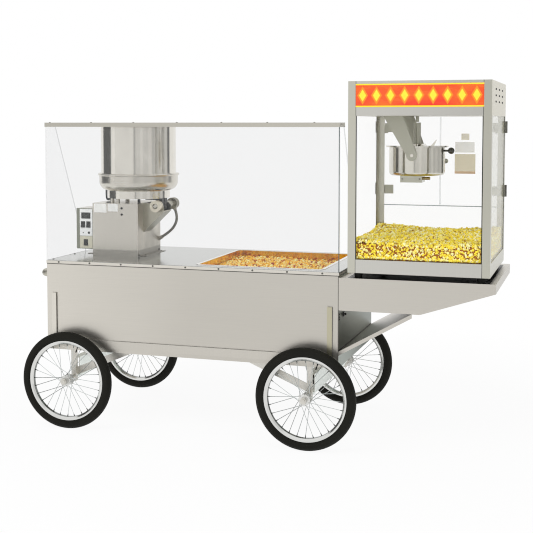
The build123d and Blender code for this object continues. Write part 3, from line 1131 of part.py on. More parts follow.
knuckle += block(split_x + SEAT_GAP, split_x + LID_BARREL, KETTLE_Y - knuckle_y, KETTLE_Y + knuckle_y,
                 LID_Z1, LID_PIN_Z)
flap += knuckle - bar_y(split_x, LID_PIN_Z, lid_bore, KETTLE_Y - far, KETTLE_Y + far)
tab_x = KETTLE_X + pot_r / 2
flap += prism_y([(tab_x, LID_Z1), (tab_x + LID_TAB / 2, LID_Z1), (tab_x + LID_TAB, LID_Z1 + LID_TAB),
                 (tab_x + LID_TAB - LID_THICK, LID_Z1 + LID_TAB)],
                KETTLE_Y - LID_TAB / 4, KETTLE_Y + LID_TAB / 4)
nodes["kettle_lid"] = lid
nodes["kettle_lid_flap"] = flap

rod_z = POT_Z1 - HANDLE_ROD_DROP
rod_x1 = KETTLE_X + pot_r + HANDLE_ROD_LENGTH
rod = bar_x(KETTLE_Y, rod_z, HANDLE_ROD, KETTLE_X + pot_r, rod_x1)
rod -= Pos(KETTLE_X, KETTLE_Y, rod_z) * Cylinder(pot_r + SEAT_GAP, 2 * HANDLE_ROD)
ball = Pos(rod_x1 + BALL_DIAMETER / 2, KETTLE_Y, rod_z) * Sphere(BALL_DIAMETER / 2)
nodes["kettle_handle"] = Compound([rod, ball])

blade_low = pot_floor + SEAT_GAP
stirrer = bar_z(KETTLE_X, KETTLE_Y, STIRRER_SHAFT, blade_low, COLLAR_Z1 + SEAT_GAP)
SLEEVE_TOP = COLLAR_Z1 + SEAT_GAP + SLEEVE_HEIGHT
stirrer += bar_z(KETTLE_X, KETTLE_Y, SLEEVE_DIAMETER, COLLAR_Z1 + SEAT_GAP, SLEEVE_TOP)
stirrer_reach = pot_r - STIRRER_CLEAR
stirrer += block(KETTLE_X - stirrer_reach, KETTLE_X + stirrer_reach, KETTLE_Y - STIRRER_BLADE_THICK / 2,
                 KETTLE_Y + STIRRER_BLADE_THICK / 2, blade_low, blade_low + STIRRER_BLADE)
nodes["kettle_stirrer"] = stirrer

# Drive motor in the header with its stub above the sleeve
sleeve_swing = math.hypot(SLEEVE_TOP - KETTLE_PIVOT_Z, SLEEVE_DIAMETER / 2)
STUB_Z0 = KETTLE_PIVOT_Z + sleeve_swing + STUB_GAP
half_drive = DRIVE_SIZE / 2
drive = block(KETTLE_X - half_drive, KETTLE_X + half_drive, KETTLE_Y - half_drive, KETTLE_Y + half_drive,
              HEADER_Z0 + SHEET, HEADER_Z0 + SHEET + DRIVE_HEIGHT)
nodes["popper_motor"] = drive + bar_z(KETTLE_X, KETTLE_Y, STUB_DIAMETER, STUB_Z0, HEADER_Z0 + SHEET)


# Hanger: two tapered arms from the header down to the kettle's pins
def hanger_arm(y0, y1):
    """A tapered plate with a round eye at its foot."""
    top_left, top_right = KETTLE_X - HANGER_TOP_LEFT, KETTLE_X - HANGER_TOP_RIGHT
    plate = prism_y([(top_left, HEADER_Z0), (top_right, HEADER_Z0), (KETTLE_X + HANGER_EYE, KETTLE_PIVOT_Z),
                     (KETTLE_X - HANGER_EYE, KETTLE_PIVOT_Z)], y0, y1)
    plate += bar_y(KETTLE_X, KETTLE_PIVOT_Z, 2 * HANGER_EYE, y0, y1)
    return plate - bar_y(KETTLE_X, KETTLE_PIVOT_Z, HANGER_PIN + 2 * RUNNING_FIT, y0 - 1, y1 + 1)


front_arm = hanger_arm(KETTLE_Y - HANGER_OUT, KETTLE_Y - HANGER_IN)
rear_arm = hanger_arm(KETTLE_Y + HANGER_IN, KETTLE_Y + HANGER_OUT)
pivot_cap = bar_y(KETTLE_X, KETTLE_PIVOT_Z, HANGER_EYE, KETTLE_Y + HANGER_OUT + SEAT_GAP,
                  KETTLE_Y + HANGER_OUT + 2 * LEAD_BEHIND)
nodes["kettle_hanger"] = Compound([front_arm, rear_arm, pivot_cap])

# Kettle lead: from a connector under the header, behind the rear arm, into the pivot cap
LEAD_Y = KETTLE_Y + HANGER_OUT + LEAD_BEHIND
lead_top_x = KETTLE_X - LEAD_TOP_LEFT
gland_z = HEADER_Z0 - LEAD_GLAND_LENGTH
gland = bar_z(lead_top_x, LEAD_Y, LEAD_GLAND, gland_z, HEADER_Z0)
last_x, last_z = LEAD_TURNS[-1]
cap_share = HANGER_EYE / 2 / math.hypot(last_x, last_z)
lead_route = [(lead_top_x, gland_z), *[(KETTLE_X + x, KETTLE_PIVOT_Z + z) for x, z in LEAD_TURNS],
              (KETTLE_X + cap_share * last_x, KETTLE_PIVOT_Z + cap_share * last_z)]
lead_path = cord_path([(x, LEAD_Y, z) for x, z in lead_route])
lead = sweep((lead_path ^ 0) * Circle(LEAD_DIAMETER / 2), lead_path)
nodes["kettle_lead"] = Compound([gland, lead])

os.makedirs("parts", exist_ok=True)
for name, shape in nodes.items():
    export_step(shape, f"parts/{name}.step")
print(len(nodes), "nodes")
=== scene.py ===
import bmesh
import bpy
import math
import numpy as np
from functools import reduce
from mathutils import Matrix, Quaternion, Vector


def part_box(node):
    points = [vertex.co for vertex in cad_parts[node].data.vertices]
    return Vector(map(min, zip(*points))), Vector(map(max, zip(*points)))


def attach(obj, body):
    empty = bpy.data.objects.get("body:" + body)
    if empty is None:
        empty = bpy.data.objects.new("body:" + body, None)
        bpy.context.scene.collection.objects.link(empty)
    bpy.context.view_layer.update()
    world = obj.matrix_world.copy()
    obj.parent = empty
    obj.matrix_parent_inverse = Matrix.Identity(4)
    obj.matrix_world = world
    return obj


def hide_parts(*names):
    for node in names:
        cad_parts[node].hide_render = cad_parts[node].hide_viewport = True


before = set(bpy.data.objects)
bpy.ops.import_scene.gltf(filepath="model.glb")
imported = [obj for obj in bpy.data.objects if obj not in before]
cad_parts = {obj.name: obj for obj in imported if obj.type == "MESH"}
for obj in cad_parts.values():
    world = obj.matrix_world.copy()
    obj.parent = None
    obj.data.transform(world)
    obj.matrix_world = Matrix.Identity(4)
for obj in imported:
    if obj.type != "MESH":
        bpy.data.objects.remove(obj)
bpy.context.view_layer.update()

# Camera at the photograph's viewing angle, in metres, degrees and pixels
IMAGE_SIDE = 533
CAMERA_PLACE = (1.686, -5.3822, 1.5936)
CAMERA_TURN = 17.56
CAMERA_PITCH = 3.38
CAMERA_FOCAL_PIXELS = 1064.3
CAMERA_SHIFT_PIXELS = 80.0
SENSOR = 36.0

# Light: each lamp's place, target, size and power
WORLD_FILL = 0.62
LAMPS = {
    "key": ((-2.6, -4.2, 4.6), (0.0, 0.0, 0.8), (3.4, 2.6), 150.0),
    "fill": ((4.2, -3.0, 2.6), (0.2, 0.0, 0.8), (2.6, 2.6), 55.0),
}

# White floor
FLOOR_SIDE = 40.0
FLOOR_WHITE = (0.92, 0.92, 0.92)
FLOOR_GLOW_NEAR = 0.92
FLOOR_FADE = (1.5, 3.0)

# Grey studio cards round the cart, seen only in polished metal: start and end in degrees, and brightness
CARD_RADIUS = 7.0
CARD_ZS = (-1.0, 7.0)
CARD_STEPS = 6
CARDS = ((162, 200, 0.1), (-87, -82, 0.45), (-82, -66, 0.8), (-66, -58, 0.92), (-58, -40, 0.78),
         (-40, -28, 0.88), (-28, -20, 0.62), (-20, -10, 0.8), (-10, -3, 0.58), (-3, 10, 0.7),
         (10, 22, 0.56), (22, 35, 0.66), (35, 47, 0.14))

# Colours, linear
STEEL = (0.56, 0.535, 0.485)
DECK_STEEL = (0.44, 0.445, 0.415)
POPPER_STEEL = (0.57, 0.56, 0.485)
POPPER_PANEL = (0.6, 0.59, 0.55)
COOKER_STEEL = (0.66, 0.63, 0.565)
BOX_STEEL = (0.26, 0.27, 0.22)
BRACKET_STEEL = (0.44, 0.42, 0.345)
ARM_STEEL = (0.44, 0.435, 0.365)
SHADED_STEEL = (0.25, 0.275, 0.245)
RAIL_STEEL = (0.49, 0.47, 0.415)
# Painted shade: the sign channel's right lip, darker and yellower than the panel.
SHADED_CHANNEL = (0.525, 0.495, 0.366)
HANDLE_STEEL = (0.52, 0.5, 0.43)
# Painted light: near-white steel that fills the sign channel's slot.
PAINTED_SLOT_LIGHT = (0.95, 0.94, 0.92)
# Painted light: the header's right side, lighter and warmer than the popper's steel.
LIT_HEADER_SIDE = (0.661, 0.629, 0.513)
ZINC_PALE = (0.86, 0.9, 0.865)
ZINC_WARM = (0.66, 0.64, 0.59)
POLISHED = (0.66, 0.64, 0.58)
RING_STEEL = (0.8, 0.77, 0.7)
SPUN = (0.7, 0.67, 0.6)
PAN_STEEL = (0.78, 0.77, 0.73)
# Painted reflection: the caramel corn's colour as mirrored in the pan's inner walls.
CARAMEL_REFLECTION = (0.8, 0.52, 0.09)
CHROME = (0.7, 0.7, 0.68)
SPOKE_STEEL = (0.56, 0.59, 0.58)
# Painted reflection: the tyre's dark mirrored on the rim's inner face and the nipples there.
RIM_DARK_REFLECTION = (0.2, 0.21, 0.2)
CAST = (0.72, 0.67, 0.55)
# Near-black steel: painted shade on the channel's right wall, inside the header and under the popper's base,
# and the colour of dark joints, seams and the tilt shaft's middle.
SHADE_AND_DARK_METAL = (0.045, 0.043, 0.038)
# Painted shade: near-black steel for the screws on the shaded end wall under the shelf.
SHADED_SCREW = (0.08, 0.08, 0.075)
BRASS = (0.36, 0.27, 0.1)
BLACK_RUBBER = (0.0052, 0.005, 0.0032)
BLACK_PLASTIC = (0.014, 0.014, 0.013)
SCREEN = (0.03, 0.034, 0.028)
FACE_PALE = (0.93, 0.94, 0.93)
FACE_CREAM = (0.68, 0.655, 0.52)
HOSE_GREY = (0.3, 0.295, 0.265)
LEAD_GREY = (0.33, 0.325, 0.3)
ACRYLIC = (0.26, 0.27, 0.28)
GLASS = (0.51, 0.5, 0.38)
DOOR_GLASS = (0.6, 0.64, 0.66)
PANE_EDGE = (0.07, 0.1, 0.1)
PANE_TRIM = (0.3, 0.38, 0.42)
SEAM_TRIM = (0.36, 0.46, 0.52)
PAPER = (0.95, 0.95, 0.92)
CARD_CREAM = (0.86, 0.79, 0.57)
CARD_TAN = (0.8, 0.56, 0.34)
WHITE_NYLON = (0.8, 0.79, 0.75)
SIGN_RED = (0.72, 0.03, 0.012)
SIGN_ORANGE = (0.9, 0.23, 0.01)
SIGN_YELLOW = (0.95, 0.66, 0.035)
POPCORN = ((0.3, 0.085, 0.006), (1.0, 0.8, 0.05), (1.0, 0.98, 0.52))
CARAMEL = ((0.42, 0.06, 0.004), (1.0, 0.58, 0.05), (1.0, 0.95, 0.42))

# Surfaces: roughness, waves per metre and other measures
METAL = 1.0
SATIN = 0.34
FINE_SATIN = 0.3
COOKER_SATIN = 0.26
COOKER_DULL = 0.48
DECK_GLOSS = 0.13
PAN_GLOSS = 0.15
STREAKS = {"X": (4.0, 520.0, 520.0), "Y": (520.0, 4.0, 520.0), "Z": (520.0, 520.0, 4.0)}
SMEARS = (1.4, 1.4, 2.2)
TURNING_MARKS = (3.0, 3.0, 320.0)
TYRE_RIB = 0.0062
CONDUIT_RINGS = 60.0
SIGN_LOZENGES = 9.0
EDGE_FACING = 0.6
WEAK_EDGE = 0.35

# Places on the cart that the materials and small pieces use, in metres
FACE = 0.0005
SHEET = 0.0012
DECK_TOP = 0.872
UNDER_DECK = DECK_TOP - SHEET
FRONT_FADE = 0.8
LIP_SHADOW = 0.0045
HEM = 0.0035
CHANNEL_LIP = 0.026
CHANNEL_BOTTOM_LIP = 0.0415
END_FADE = 0.36
BRACE_JOIN = (0.019, 0.026)
GUARD_PANE = 0.006
GUARD_CUT = 0.0035
BEAM_HALF = 0.3515
BASE_FRONT = -0.12
BASE_RIGHT = -0.71
FOOT_TOP = DECK_TOP + 0.034
FOOT_BLUR = 0.004
FACE_FRONT = -0.1212
FACE_SPLIT = 0.977
FACE_JOIN = 0.001
CAST_DARK = (-0.047, 0.058)
POPPER_POST = 0.038
POPPER_SHADE = 0.002
HEADER_SHEET = 0.001
HEADER_FRONT = 0.0045
SEAM_HALF = 0.0012
LEFT_PANE = 0.008
POT_BOTTOM = 0.036
NOSE_START = 0.822
DOOR_HINGE_Y = 0.342
DOOR_HALF = 0.0025
DOOR_INSIDE = DOOR_HINGE_Y - DOOR_HALF
DOOR_EDGE = 0.0125
HUB_RADIUS = 0.034
RIM_INSIDE = 0.191
RIM_BED = RIM_INSIDE + 0.0015
WHEELS = [f"wheel_{side}_{end}" for side in ("front", "rear") for end in ("left", "right")]
FORWARD = (0, -1, 0)
UPWARD = (0, 0, 1)
RIGHTWARD = (1, 0, 0)
LEFTWARD = (-1, 0, 0)

# Cord routes, the same points as the model's, as (x, z) from a pivot
TILT_PIVOT = Vector((-0.624, 0.0, 1.146))
CONDUIT_Y = 0.1685
CONDUIT_ROUTE = ((0.01368, -0.03759), (0.02531, -0.06954), (0.018, -0.115), (-0.016, -0.16),
                 (-0.064, -0.19))
CONDUIT_DIAMETER = 0.015
KETTLE_PIVOT = Vector((0.788, 0.0, 1.437))
LEAD_Y = 0.1575
LEAD_ROUTE = ((-0.15, 0.168), (-0.146, 0.137), (-0.118, 0.084), (-0.082, 0.036), (-0.05, 0.006),
              (-0.0134, 0.0016))
LEAD_DIAMETER = 0.008


class Value:
    """A node's output. The usual signs add nodes: & and | join tests, which are one or none."""

    def __init__(self, nodes, socket):
        self.nodes = nodes
        self.socket = socket

    def spread(self, low, high, start=0.3, end=0.7):
        """This value mapped to a range."""
        inputs = {"Value": self, "From Min": start, "From Max": end, "To Min": low, "To Max": high}
        return self.nodes.add("MapRange", inputs)

    def ramp(self, start=0.3, end=0.7):
        """This value mapped to none to one."""
        return self.spread(0.0, 1.0, start, end)

    def between(self, low, high):
        """One between two levels."""
        return (self > low) & (self < high)

    def waves(self, count):
        """So many waves along a unit of this value."""
        return self.nodes.maths("SINE", self * (2 * math.pi * count))

    def blend(self, first, second):
        """Two values mixed by this share."""
        return self.nodes.add("Mix", {0: self, 2: first, 3: second})

    def mix(self, first, second):
        """Two colours mixed by this share."""
        return self.nodes.mix(self, first, second)


SIGNS = {"__add__": "ADD", "__sub__": "SUBTRACT", "__mul__": "MULTIPLY", "__pow__": "POWER",
         "__abs__": "ABSOLUTE", "__gt__": "GREATER_THAN", "__lt__": "LESS_THAN", "__and__": "MULTIPLY",
         "__or__": "MAXIMUM"}
for sign, operation in SIGNS.items():
    setattr(Value, sign, lambda self, other=0.0, kind=operation: self.nodes.maths(kind, self, other))


class Nodes:
    """A node tree. Its x, y and z are the surface's point in the cart's frame."""

    x = property(lambda self: self.part("Object", "X"))
    y = property(lambda self: self.part("Object", "Y"))
    z = property(lambda self: self.part("Object", "Z"))

    def __init__(self, tree):
        self.tree = tree

    def feed(self, socket, value):
        """Links an input to a value, or sets it. A colour has three channels."""
        if isinstance(value, Value):
            self.tree.links.new(value.socket, socket)
        elif socket.type == "RGBA":
            socket.default_value = (*value, 1)
        else:
            socket.default_value = value

    def add(self, kind, inputs, output=0, **settings):
        """Adds a node, feeds its inputs and returns one of its outputs."""
        node = self.tree.nodes.new("ShaderNode" + kind)
        for key, value in settings.items():
            setattr(node, key, value)
        for key, value in inputs.items():
            self.feed(node.inputs[key], value)
        return Value(self, node.outputs[output])

    def where(self, output):
        """A texture coordinate: Object, Normal or UV."""
        return self.add("TexCoord", {}, output=output)

    def part(self, output, axis):
        """One part of a texture coordinate."""
        return self.add("SeparateXYZ", {0: self.where(output)}, output=axis)

    def facing(self, axis):
        """How much the surface faces along an axis, either way."""
        return abs(self.part("Normal", axis))

    def maths(self, operation, first, second=0.0):
        """A sum on one or two values."""
        return self.add("Math", {0: first, 1: second}, operation=operation)

    def within(self, low, high):
        """One inside a box."""
        x, y, z = (value.between(*limits) for value, *limits in zip((self.x, self.y, self.z), low, high))
        return x & y & z

    def noise(self, waves, detail=3.0):
        """Noise with so many waves per metre, either one number or one for each axis."""
        scale = waves if isinstance(waves, tuple) else (waves,) * 3
        stretched = self.add("Mapping", {"Vector": self.where("Object"), "Scale": scale})
        return self.add("TexNoise", {"Vector": stretched, "Scale": 1.0, "Detail": detail})

    def mix(self, share, first, second, **settings):
        """Two colours mixed by a share."""
        return self.add("Mix", {0: share, 6: first, 7: second}, output=2, data_type="RGBA", **settings)

    def painted(self, colour, *coats):
        """A colour under coats of others, each with its test or share."""
        return reduce(lambda under, coat: self.mix(coat[0], under, coat[1]), coats, colour)

    def grained(self, colour, tone, depth):
        """A colour made darker and lighter by a tone around a half."""
        grain = self.mix(tone, (1 - depth,) * 3, (1 + depth,) * 3)
        return self.mix(1.0, colour, grain, blend_type="MULTIPLY")


class Skin(Nodes):
    """A principled material."""

    def __init__(self, name, colour, rough, metallic=0.0):
        self.material = bpy.data.materials.new(name)
        self.material.use_nodes = True
        super().__init__(self.material.node_tree)
        self.bsdf = self.tree.nodes["Principled BSDF"]
        self.colour = colour
        self.rough = rough
        self.coat(colour, rough)
        self.put("Metallic", metallic)

    def put(self, name, value):
        """Links or sets one of the surface's inputs."""
        self.feed(self.bsdf.inputs[name], value)

    def coat(self, colour, rough):
        """Links or sets the colour and the roughness."""
        self.put("Base Color", colour)
        self.put("Roughness", rough)

    def alpha(self, value):
        """Links the alpha."""
        self.put("Alpha", value)
        self.material.surface_render_method = "BLENDED"

    def bump(self, height, strength, distance):
        """Links a bump made from a height."""
        self.put("Normal", self.add("Bump", {"Height": height, "Strength": strength, "Distance": distance}))

    def glow(self, colour, strength):
        """Lets the surface shine in a colour."""
        self.put("Emission Color", colour)
        self.put("Emission Strength", strength)

    def finish(self, colour, tone, depth, grain, rough, bump):
        """Grains a colour by a tone and takes roughness and bump from a grain."""
        self.coat(self.grained(colour, tone, depth), grain.spread(*rough))
        self.bump(grain, *bump)
        return self.material


def lighter(colour, share):
    """A colour multiplied by a share."""
    return tuple(min(1.0, channel * share) for channel in colour)


def brush(skin, colour, along, depth=0.05):
    """Gives a metal fine streaks along one axis and faint broad smears."""
    streaks = skin.noise(STREAKS[along])
    tone = streaks.spread(0.25, 0.75) + skin.noise(SMEARS, detail=2.0).spread(-0.16, 0.16)
    rough = (skin.rough - 0.02, skin.rough + 0.03)
    return skin.finish(colour, tone, depth, streaks, rough, bump=(0.008, 0.0002))


def brushed(name, colour, along, rough):
    """Brushed sheet steel."""
    return brush(Skin(name, colour, rough, METAL), colour, along)


def front_sheet():
    """The front wall, with painted light at the left and in the slot, and painted shadow under the deck's
    lip and at its hem.
    """
    low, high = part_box("front_panel")
    slot_low, slot_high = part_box("sign_channels")
    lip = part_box("deck_top")[0].z
    skin = Skin("front_steel", STEEL, SATIN, METAL)
    # Painted light: the wall brightens towards its left end.
    fade = skin.x.ramp(low.x, low.x + FRONT_FADE)
    front = skin.y < low.y + FACE
    # Painted light: a near-white fill behind the sign channel's bottom lip lifts the shade in the slot.
    slot = skin.x.between(slot_low.x, slot_high.x) & front
    slot = slot & skin.z.between(slot_low.z, slot_low.z + CHANNEL_BOTTOM_LIP)
    # Painted shadow: dark lines under the deck's lip and along the right hem.
    shadow_lines = (skin.z.between(lip - LIP_SHADOW, lip) | (skin.x > high.x - HEM)) & front
    colour = skin.painted(lighter(STEEL, 1.22), (fade, lighter(STEEL, 1.03)), (slot, PAINTED_SLOT_LIGHT),
                          (shadow_lines, lighter(STEEL, 0.25)))
    return brush(skin, colour, "X")


def pan_sheet():
    """A bright pan with a painted reflection of the caramel corn on its inner walls."""
    low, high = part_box("cooling_pan")
    over_pan = Vector(((low.x + high.x) / 2, (low.y + high.y) / 2, 2 * high.z))
    skin = Skin("pan_steel", PAN_STEEL, PAN_GLOSS, METAL)
    inward = skin.add("VectorMath", {0: over_pan, 1: skin.where("Object")}, operation="SUBTRACT")
    inputs = {0: inward, 1: skin.where("Normal")}
    towards = skin.add("VectorMath", inputs, output="Value", operation="DOT_PRODUCT")
    deep = (towards > 0.0) & (skin.z < UNDER_DECK)
    # Painted reflection: inward-facing walls below the rim take the caramel's colour.
    film = skin.noise((30.0, 30.0, 12.0)).ramp().mix(lighter(CARAMEL_REFLECTION, 0.8), lighter(CARAMEL_REFLECTION, 1.3))
    return brush(skin, deep.mix(PAN_STEEL, film), "X", depth=0.04)


def deck_sheet():
    """A bright deck with a paler satin lip."""
    skin = Skin("deck_steel", DECK_STEEL, DECK_GLOSS, METAL)
    lip = skin.z < UNDER_DECK
    material = brush(skin, lip.mix(DECK_STEEL, lighter(STEEL, 1.25)), "X")
    skin.put("Roughness", lip.blend(DECK_GLOSS, SATIN))
    return material


def channel_sheet():
    """The sign channel, with painted light on its left lip and in its slot, and painted shade on its right
    lip and wall.
    """
    low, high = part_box("sign_channels")
    skin = Skin("channel_steel", STEEL, SATIN, METAL)
    # Painted light on the left lip and in the slot; painted shade on the right lip and painted shadow on its
    # outer wall.
    colour = skin.painted(lighter(STEEL, 1.07), (skin.x < low.x + CHANNEL_LIP, lighter(STEEL, 1.3)),
                          (skin.y > low.y + SHEET, PAINTED_SLOT_LIGHT),
                          (skin.x > high.x - CHANNEL_LIP, SHADED_CHANNEL), (skin.x > high.x - FACE, SHADE_AND_DARK_METAL))
    return brush(skin, colour, "Z")


def rail_sheet():
    """The guard's top rail, with painted light brightening it towards the popper."""
    low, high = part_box("guard_top_rail")
    skin = Skin("rail_steel", RAIL_STEEL, FINE_SATIN, METAL)
    # Painted light: the rail brightens towards the popper's end.
    colour = skin.x.ramp(low.x, high.x).mix(lighter(RAIL_STEEL, 0.97), lighter(RAIL_STEEL, 1.12))
    return brush(skin, colour, "X")


def shelf_sheet():
    """The shelf, with a painted shadow under the popper."""
    low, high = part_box("popper_base")
    skin = Skin("shelf_steel", STEEL, SATIN, METAL)
    # Painted shadow: the shelf's top under the popper is nearly black.
    popper_shadow = skin.x.between(low.x, high.x) & skin.y.between(low.y - POPPER_SHADE, high.y)
    popper_shadow = popper_shadow & (skin.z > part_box("extension_shelf")[1].z - FACE)
    return brush(skin, popper_shadow.mix(lighter(STEEL, 1.07), lighter(STEEL, 0.1)), "X", depth=0.04)


def end_sheet():
    """End walls. The one under the shelf has painted shade, lighter towards the front, with a dark join at
    the brace.
    """
    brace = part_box("shelf_brace")[0].z
    skin = Skin("end_steel", STEEL, SATIN, METAL)
    # Painted shade: the right end wall under the shelf is a darker steel, lighter towards its front.
    fade = skin.y.spread(0.0, 0.55, END_FADE, -END_FADE)
    join = skin.z.between(brace + BRACE_JOIN[0], brace + BRACE_JOIN[1])
    dull = skin.painted(lighter(SHADED_STEEL, 0.88), (fade, lighter(SHADED_STEEL, 1.6)), (join, SHADE_AND_DARK_METAL))
    right = skin.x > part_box("end_panels")[1].x - SHEET
    return brush(skin, right.mix(STEEL, dull), "Y")


def cooker_sheet():
    """The cooker's housing, duller and cloudier on its right side, with a painted reflection of the deck
    darkening its foot.
    """
    skin = Skin("cooker_steel", COOKER_STEEL, COOKER_SATIN, METAL)
    side = skin.x > BASE_RIGHT - FACE
    clouds = skin.noise((9.0, 9.0, 7.0)).ramp()
    cloudy = clouds.mix(lighter(COOKER_STEEL, 0.88), lighter(COOKER_STEEL, 1.2))
    # Painted reflection: the housing darkens along its foot, where the deck is mirrored.
    foot = skin.z.spread(1.0, 0.0, FOOT_TOP - FOOT_BLUR, FOOT_TOP + FOOT_BLUR)
    colour = skin.painted(COOKER_STEEL, (side, cloudy), (foot, lighter(COOKER_STEEL, 0.66)))
    material = brush(skin, colour, "Z", depth=0.03)
    skin.put("Roughness", side.blend(COOKER_SATIN, COOKER_DULL))
    return material


def control_sheet():
    """The control box, with a darker front edge and painted shade inside it, in black."""
    low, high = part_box("control_box")
    skin = Skin("control_steel", COOKER_STEEL, FINE_SATIN, METAL)
    # Painted shade: the inside of the box is black; the front edge is darker.
    inside = skin.within(low + Vector((SHEET, SHEET, SHEET)), high - Vector((SHEET, 0.0, SHEET)))
    colour = skin.painted(COOKER_STEEL, (skin.y < low.y + FACE, BOX_STEEL), (inside, BLACK_PLASTIC))
    return brush(skin, colour, "Z", depth=0.06)


def popper_sheet():
    """The popper's steel: seams by the posts, painted light on the header's right side, painted shade in it
    behind the vents and under the base.
    """
    low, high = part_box("popper_header")
    base_low, base_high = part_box("popper_base")
    middle = (low.x + high.x) / 2
    post = high.x - middle - POPPER_POST
    walls = Vector((HEADER_SHEET, HEADER_SHEET, HEADER_SHEET))
    skin = Skin("popper_steel", POPPER_STEEL, FINE_SATIN, METAL)
    from_middle = abs(skin.x - middle)
    ends = ((skin.z < base_high.z - FACE) | (skin.z > low.z + FACE)) & (skin.y < low.y + FACE)
    # Painted light on the header's right side.
    side = (skin.x > high.x - FACE) & (skin.z > low.z)
    seam = (abs(from_middle - post) < SEAM_HALF) & ends
    # Painted shade: inside the header behind the vents, and under the base.
    inside = skin.within(low + Vector((HEADER_SHEET, HEADER_FRONT, HEADER_SHEET)), high - walls)
    below = skin.z < base_low.z + FACE
    colour = skin.painted(POPPER_STEEL, ((from_middle < post) & ends, POPPER_PANEL), (side, LIT_HEADER_SIDE),
                          (seam | inside | below, SHADE_AND_DARK_METAL))
    return brush(skin, colour, "Z", depth=0.03)


def polish(skin, colour):
    """Gives a metal fine turning marks and faint cloudiness."""
    marks = skin.noise(TURNING_MARKS, detail=4.0)
    rough = (max(0.02, skin.rough - 0.03), skin.rough + 0.04)
    return skin.finish(colour, skin.noise(9.0).spread(0.1, 0.9), 0.07, marks, rough, bump=(0.02, 0.0003))


def polished(name, colour, rough):
    """Polished steel."""
    return polish(Skin(name, colour, rough, METAL), colour)


def wheel_metal(name, colour, inner_colour, radius, rough):
    """Polished steel on the wheels, in another colour inside a radius."""
    centres = [sum(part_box(wheel + "_rim"), Vector()) / 2 for wheel in WHEELS]
    left = min(centre.x for centre in centres)
    right = max(centre.x for centre in centres)
    skin = Skin(name, colour, rough, METAL)
    along = abs(skin.x - (left + right) / 2) - (right - left) / 2
    rise = skin.z - centres[0].z
    inner = skin.maths("SQRT", abs(along) ** 2.0 + abs(rise) ** 2.0) < radius
    return polish(skin, inner.mix(colour, inner_colour))


def kettle_metal():
    """A polished pot with a dull cast box under it, and the box's brass nose."""
    skin = Skin("kettle_metal", POLISHED, 0.14, METAL)
    box = skin.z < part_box("kettle_pot")[0].z + POT_BOTTOM - FACE
    nose = box & (skin.x > NOSE_START)
    return polish(skin, skin.painted(POLISHED, (box, ARM_STEEL), (nose, BRASS)))


def galvanised():
    """Zinc with a soft spangle: pale cross beams, warmer legs and stays."""
    skin = Skin("zinc", ZINC_PALE, 0.36, METAL)
    spangle = skin.add("TexVoronoi", {"Vector": skin.where("Object"), "Scale": 70.0}, output="Distance")
    clouds = skin.noise(14.0, detail=4.0)
    tone = spangle.spread(0.0, 0.35, 0.0, 0.8) + clouds.spread(0.1, 0.5)
    colour = (abs(skin.y) > BEAM_HALF).mix(ZINC_PALE, ZINC_WARM)
    return skin.finish(colour, tone, 0.12, clouds, rough=(0.3, 0.48), bump=(0.05, 0.0006))


def cast_metal():
    """A casting that is dark along the middle of its length."""
    skin = Skin("cast", CAST, 0.35, 0.85)
    clouds = skin.noise(60.0)
    colour = skin.y.between(*CAST_DARK).mix(CAST, SHADE_AND_DARK_METAL)
    return skin.finish(colour, clouds.ramp(), 0.1, clouds, rough=(0.25, 0.45), bump=(0.08, 0.0006))


def pebbled(name, colour, rough, grain, strength=0.12):
    """Plastic, paper or rubber with a fine grain."""
    skin = Skin(name, colour, rough)
    wear = skin.noise(16.0).ramp()
    ends = (rough - 0.06, rough + 0.1)
    return skin.finish(colour, wear, 0.12, skin.noise(grain), ends, bump=(strength, 0.0006))


def film(name, colour, alpha):
    """A thin film that lets some light through."""
    skin = Skin(name, colour, 0.5)
    fibres = skin.noise(300.0)
    skin.put("Base Color", skin.grained(colour, fibres.ramp(), 0.05))
    skin.alpha(fibres.spread(alpha - 0.05, alpha + 0.05))
    return skin.material


def face_plate():
    """A pale plate above a cream one, with a dark join between them."""
    skin = Skin("face_plate", FACE_PALE, 0.4)
    join = abs(skin.z - FACE_SPLIT) < FACE_JOIN
    colour = skin.painted(FACE_CREAM, (skin.z > FACE_SPLIT, FACE_PALE), (join, BOX_STEEL))
    grain = skin.noise(500.0)
    return skin.finish(colour, grain.spread(0.2, 0.8), 0.05, grain, rough=(0.34, 0.5), bump=(0.05, 0.0004))


def tyre_rubber():
    """Tyre rubber with ribs round the tread and dusty shoulders."""
    skin = Skin("tyre_rubber", BLACK_RUBBER, 0.62)
    grit = skin.noise(320.0, detail=2.0)
    dust = skin.noise((7.0, 40.0, 7.0), detail=4.0).spread(0.0, 0.6)
    skin.coat(dust.mix(BLACK_RUBBER, lighter(BLACK_RUBBER, 1.9)), grit.spread(0.56, 0.76))
    skin.put("Specular IOR Level", 0.2)
    skin.bump(skin.y.waves(1 / TYRE_RIB) + grit.spread(0.0, 0.5), strength=0.4, distance=0.0012)
    return skin.material


def clear(skin, veil, edge, edge_alpha=0.62, steel=None, faint=None):
    """Makes a pane clear, with a veil face on and edge on, dark cut edges, and steel or fainter areas."""
    slant = skin.add("LayerWeight", {"Blend": 0.5}, output="Facing")
    alpha = (slant ** 9.0).spread(*veil, 0.0, 1.0)
    if faint:
        alpha = alpha * faint.blend(1.0, 0.15)
    smudge = skin.noise(5.0)
    tint = edge.mix(skin.grained(skin.colour, smudge.ramp(), 0.05), PANE_EDGE)
    alpha = edge.blend(alpha, edge_alpha)
    rough = smudge.spread(0.03, 0.09)
    if steel:
        tint = steel.mix(tint, ARM_STEEL)
        alpha = steel.blend(alpha, 1.0)
        rough = steel.blend(rough, 0.32)
        skin.put("Metallic", steel)
    skin.coat(tint, rough)
    skin.alpha(alpha)
    return skin.material


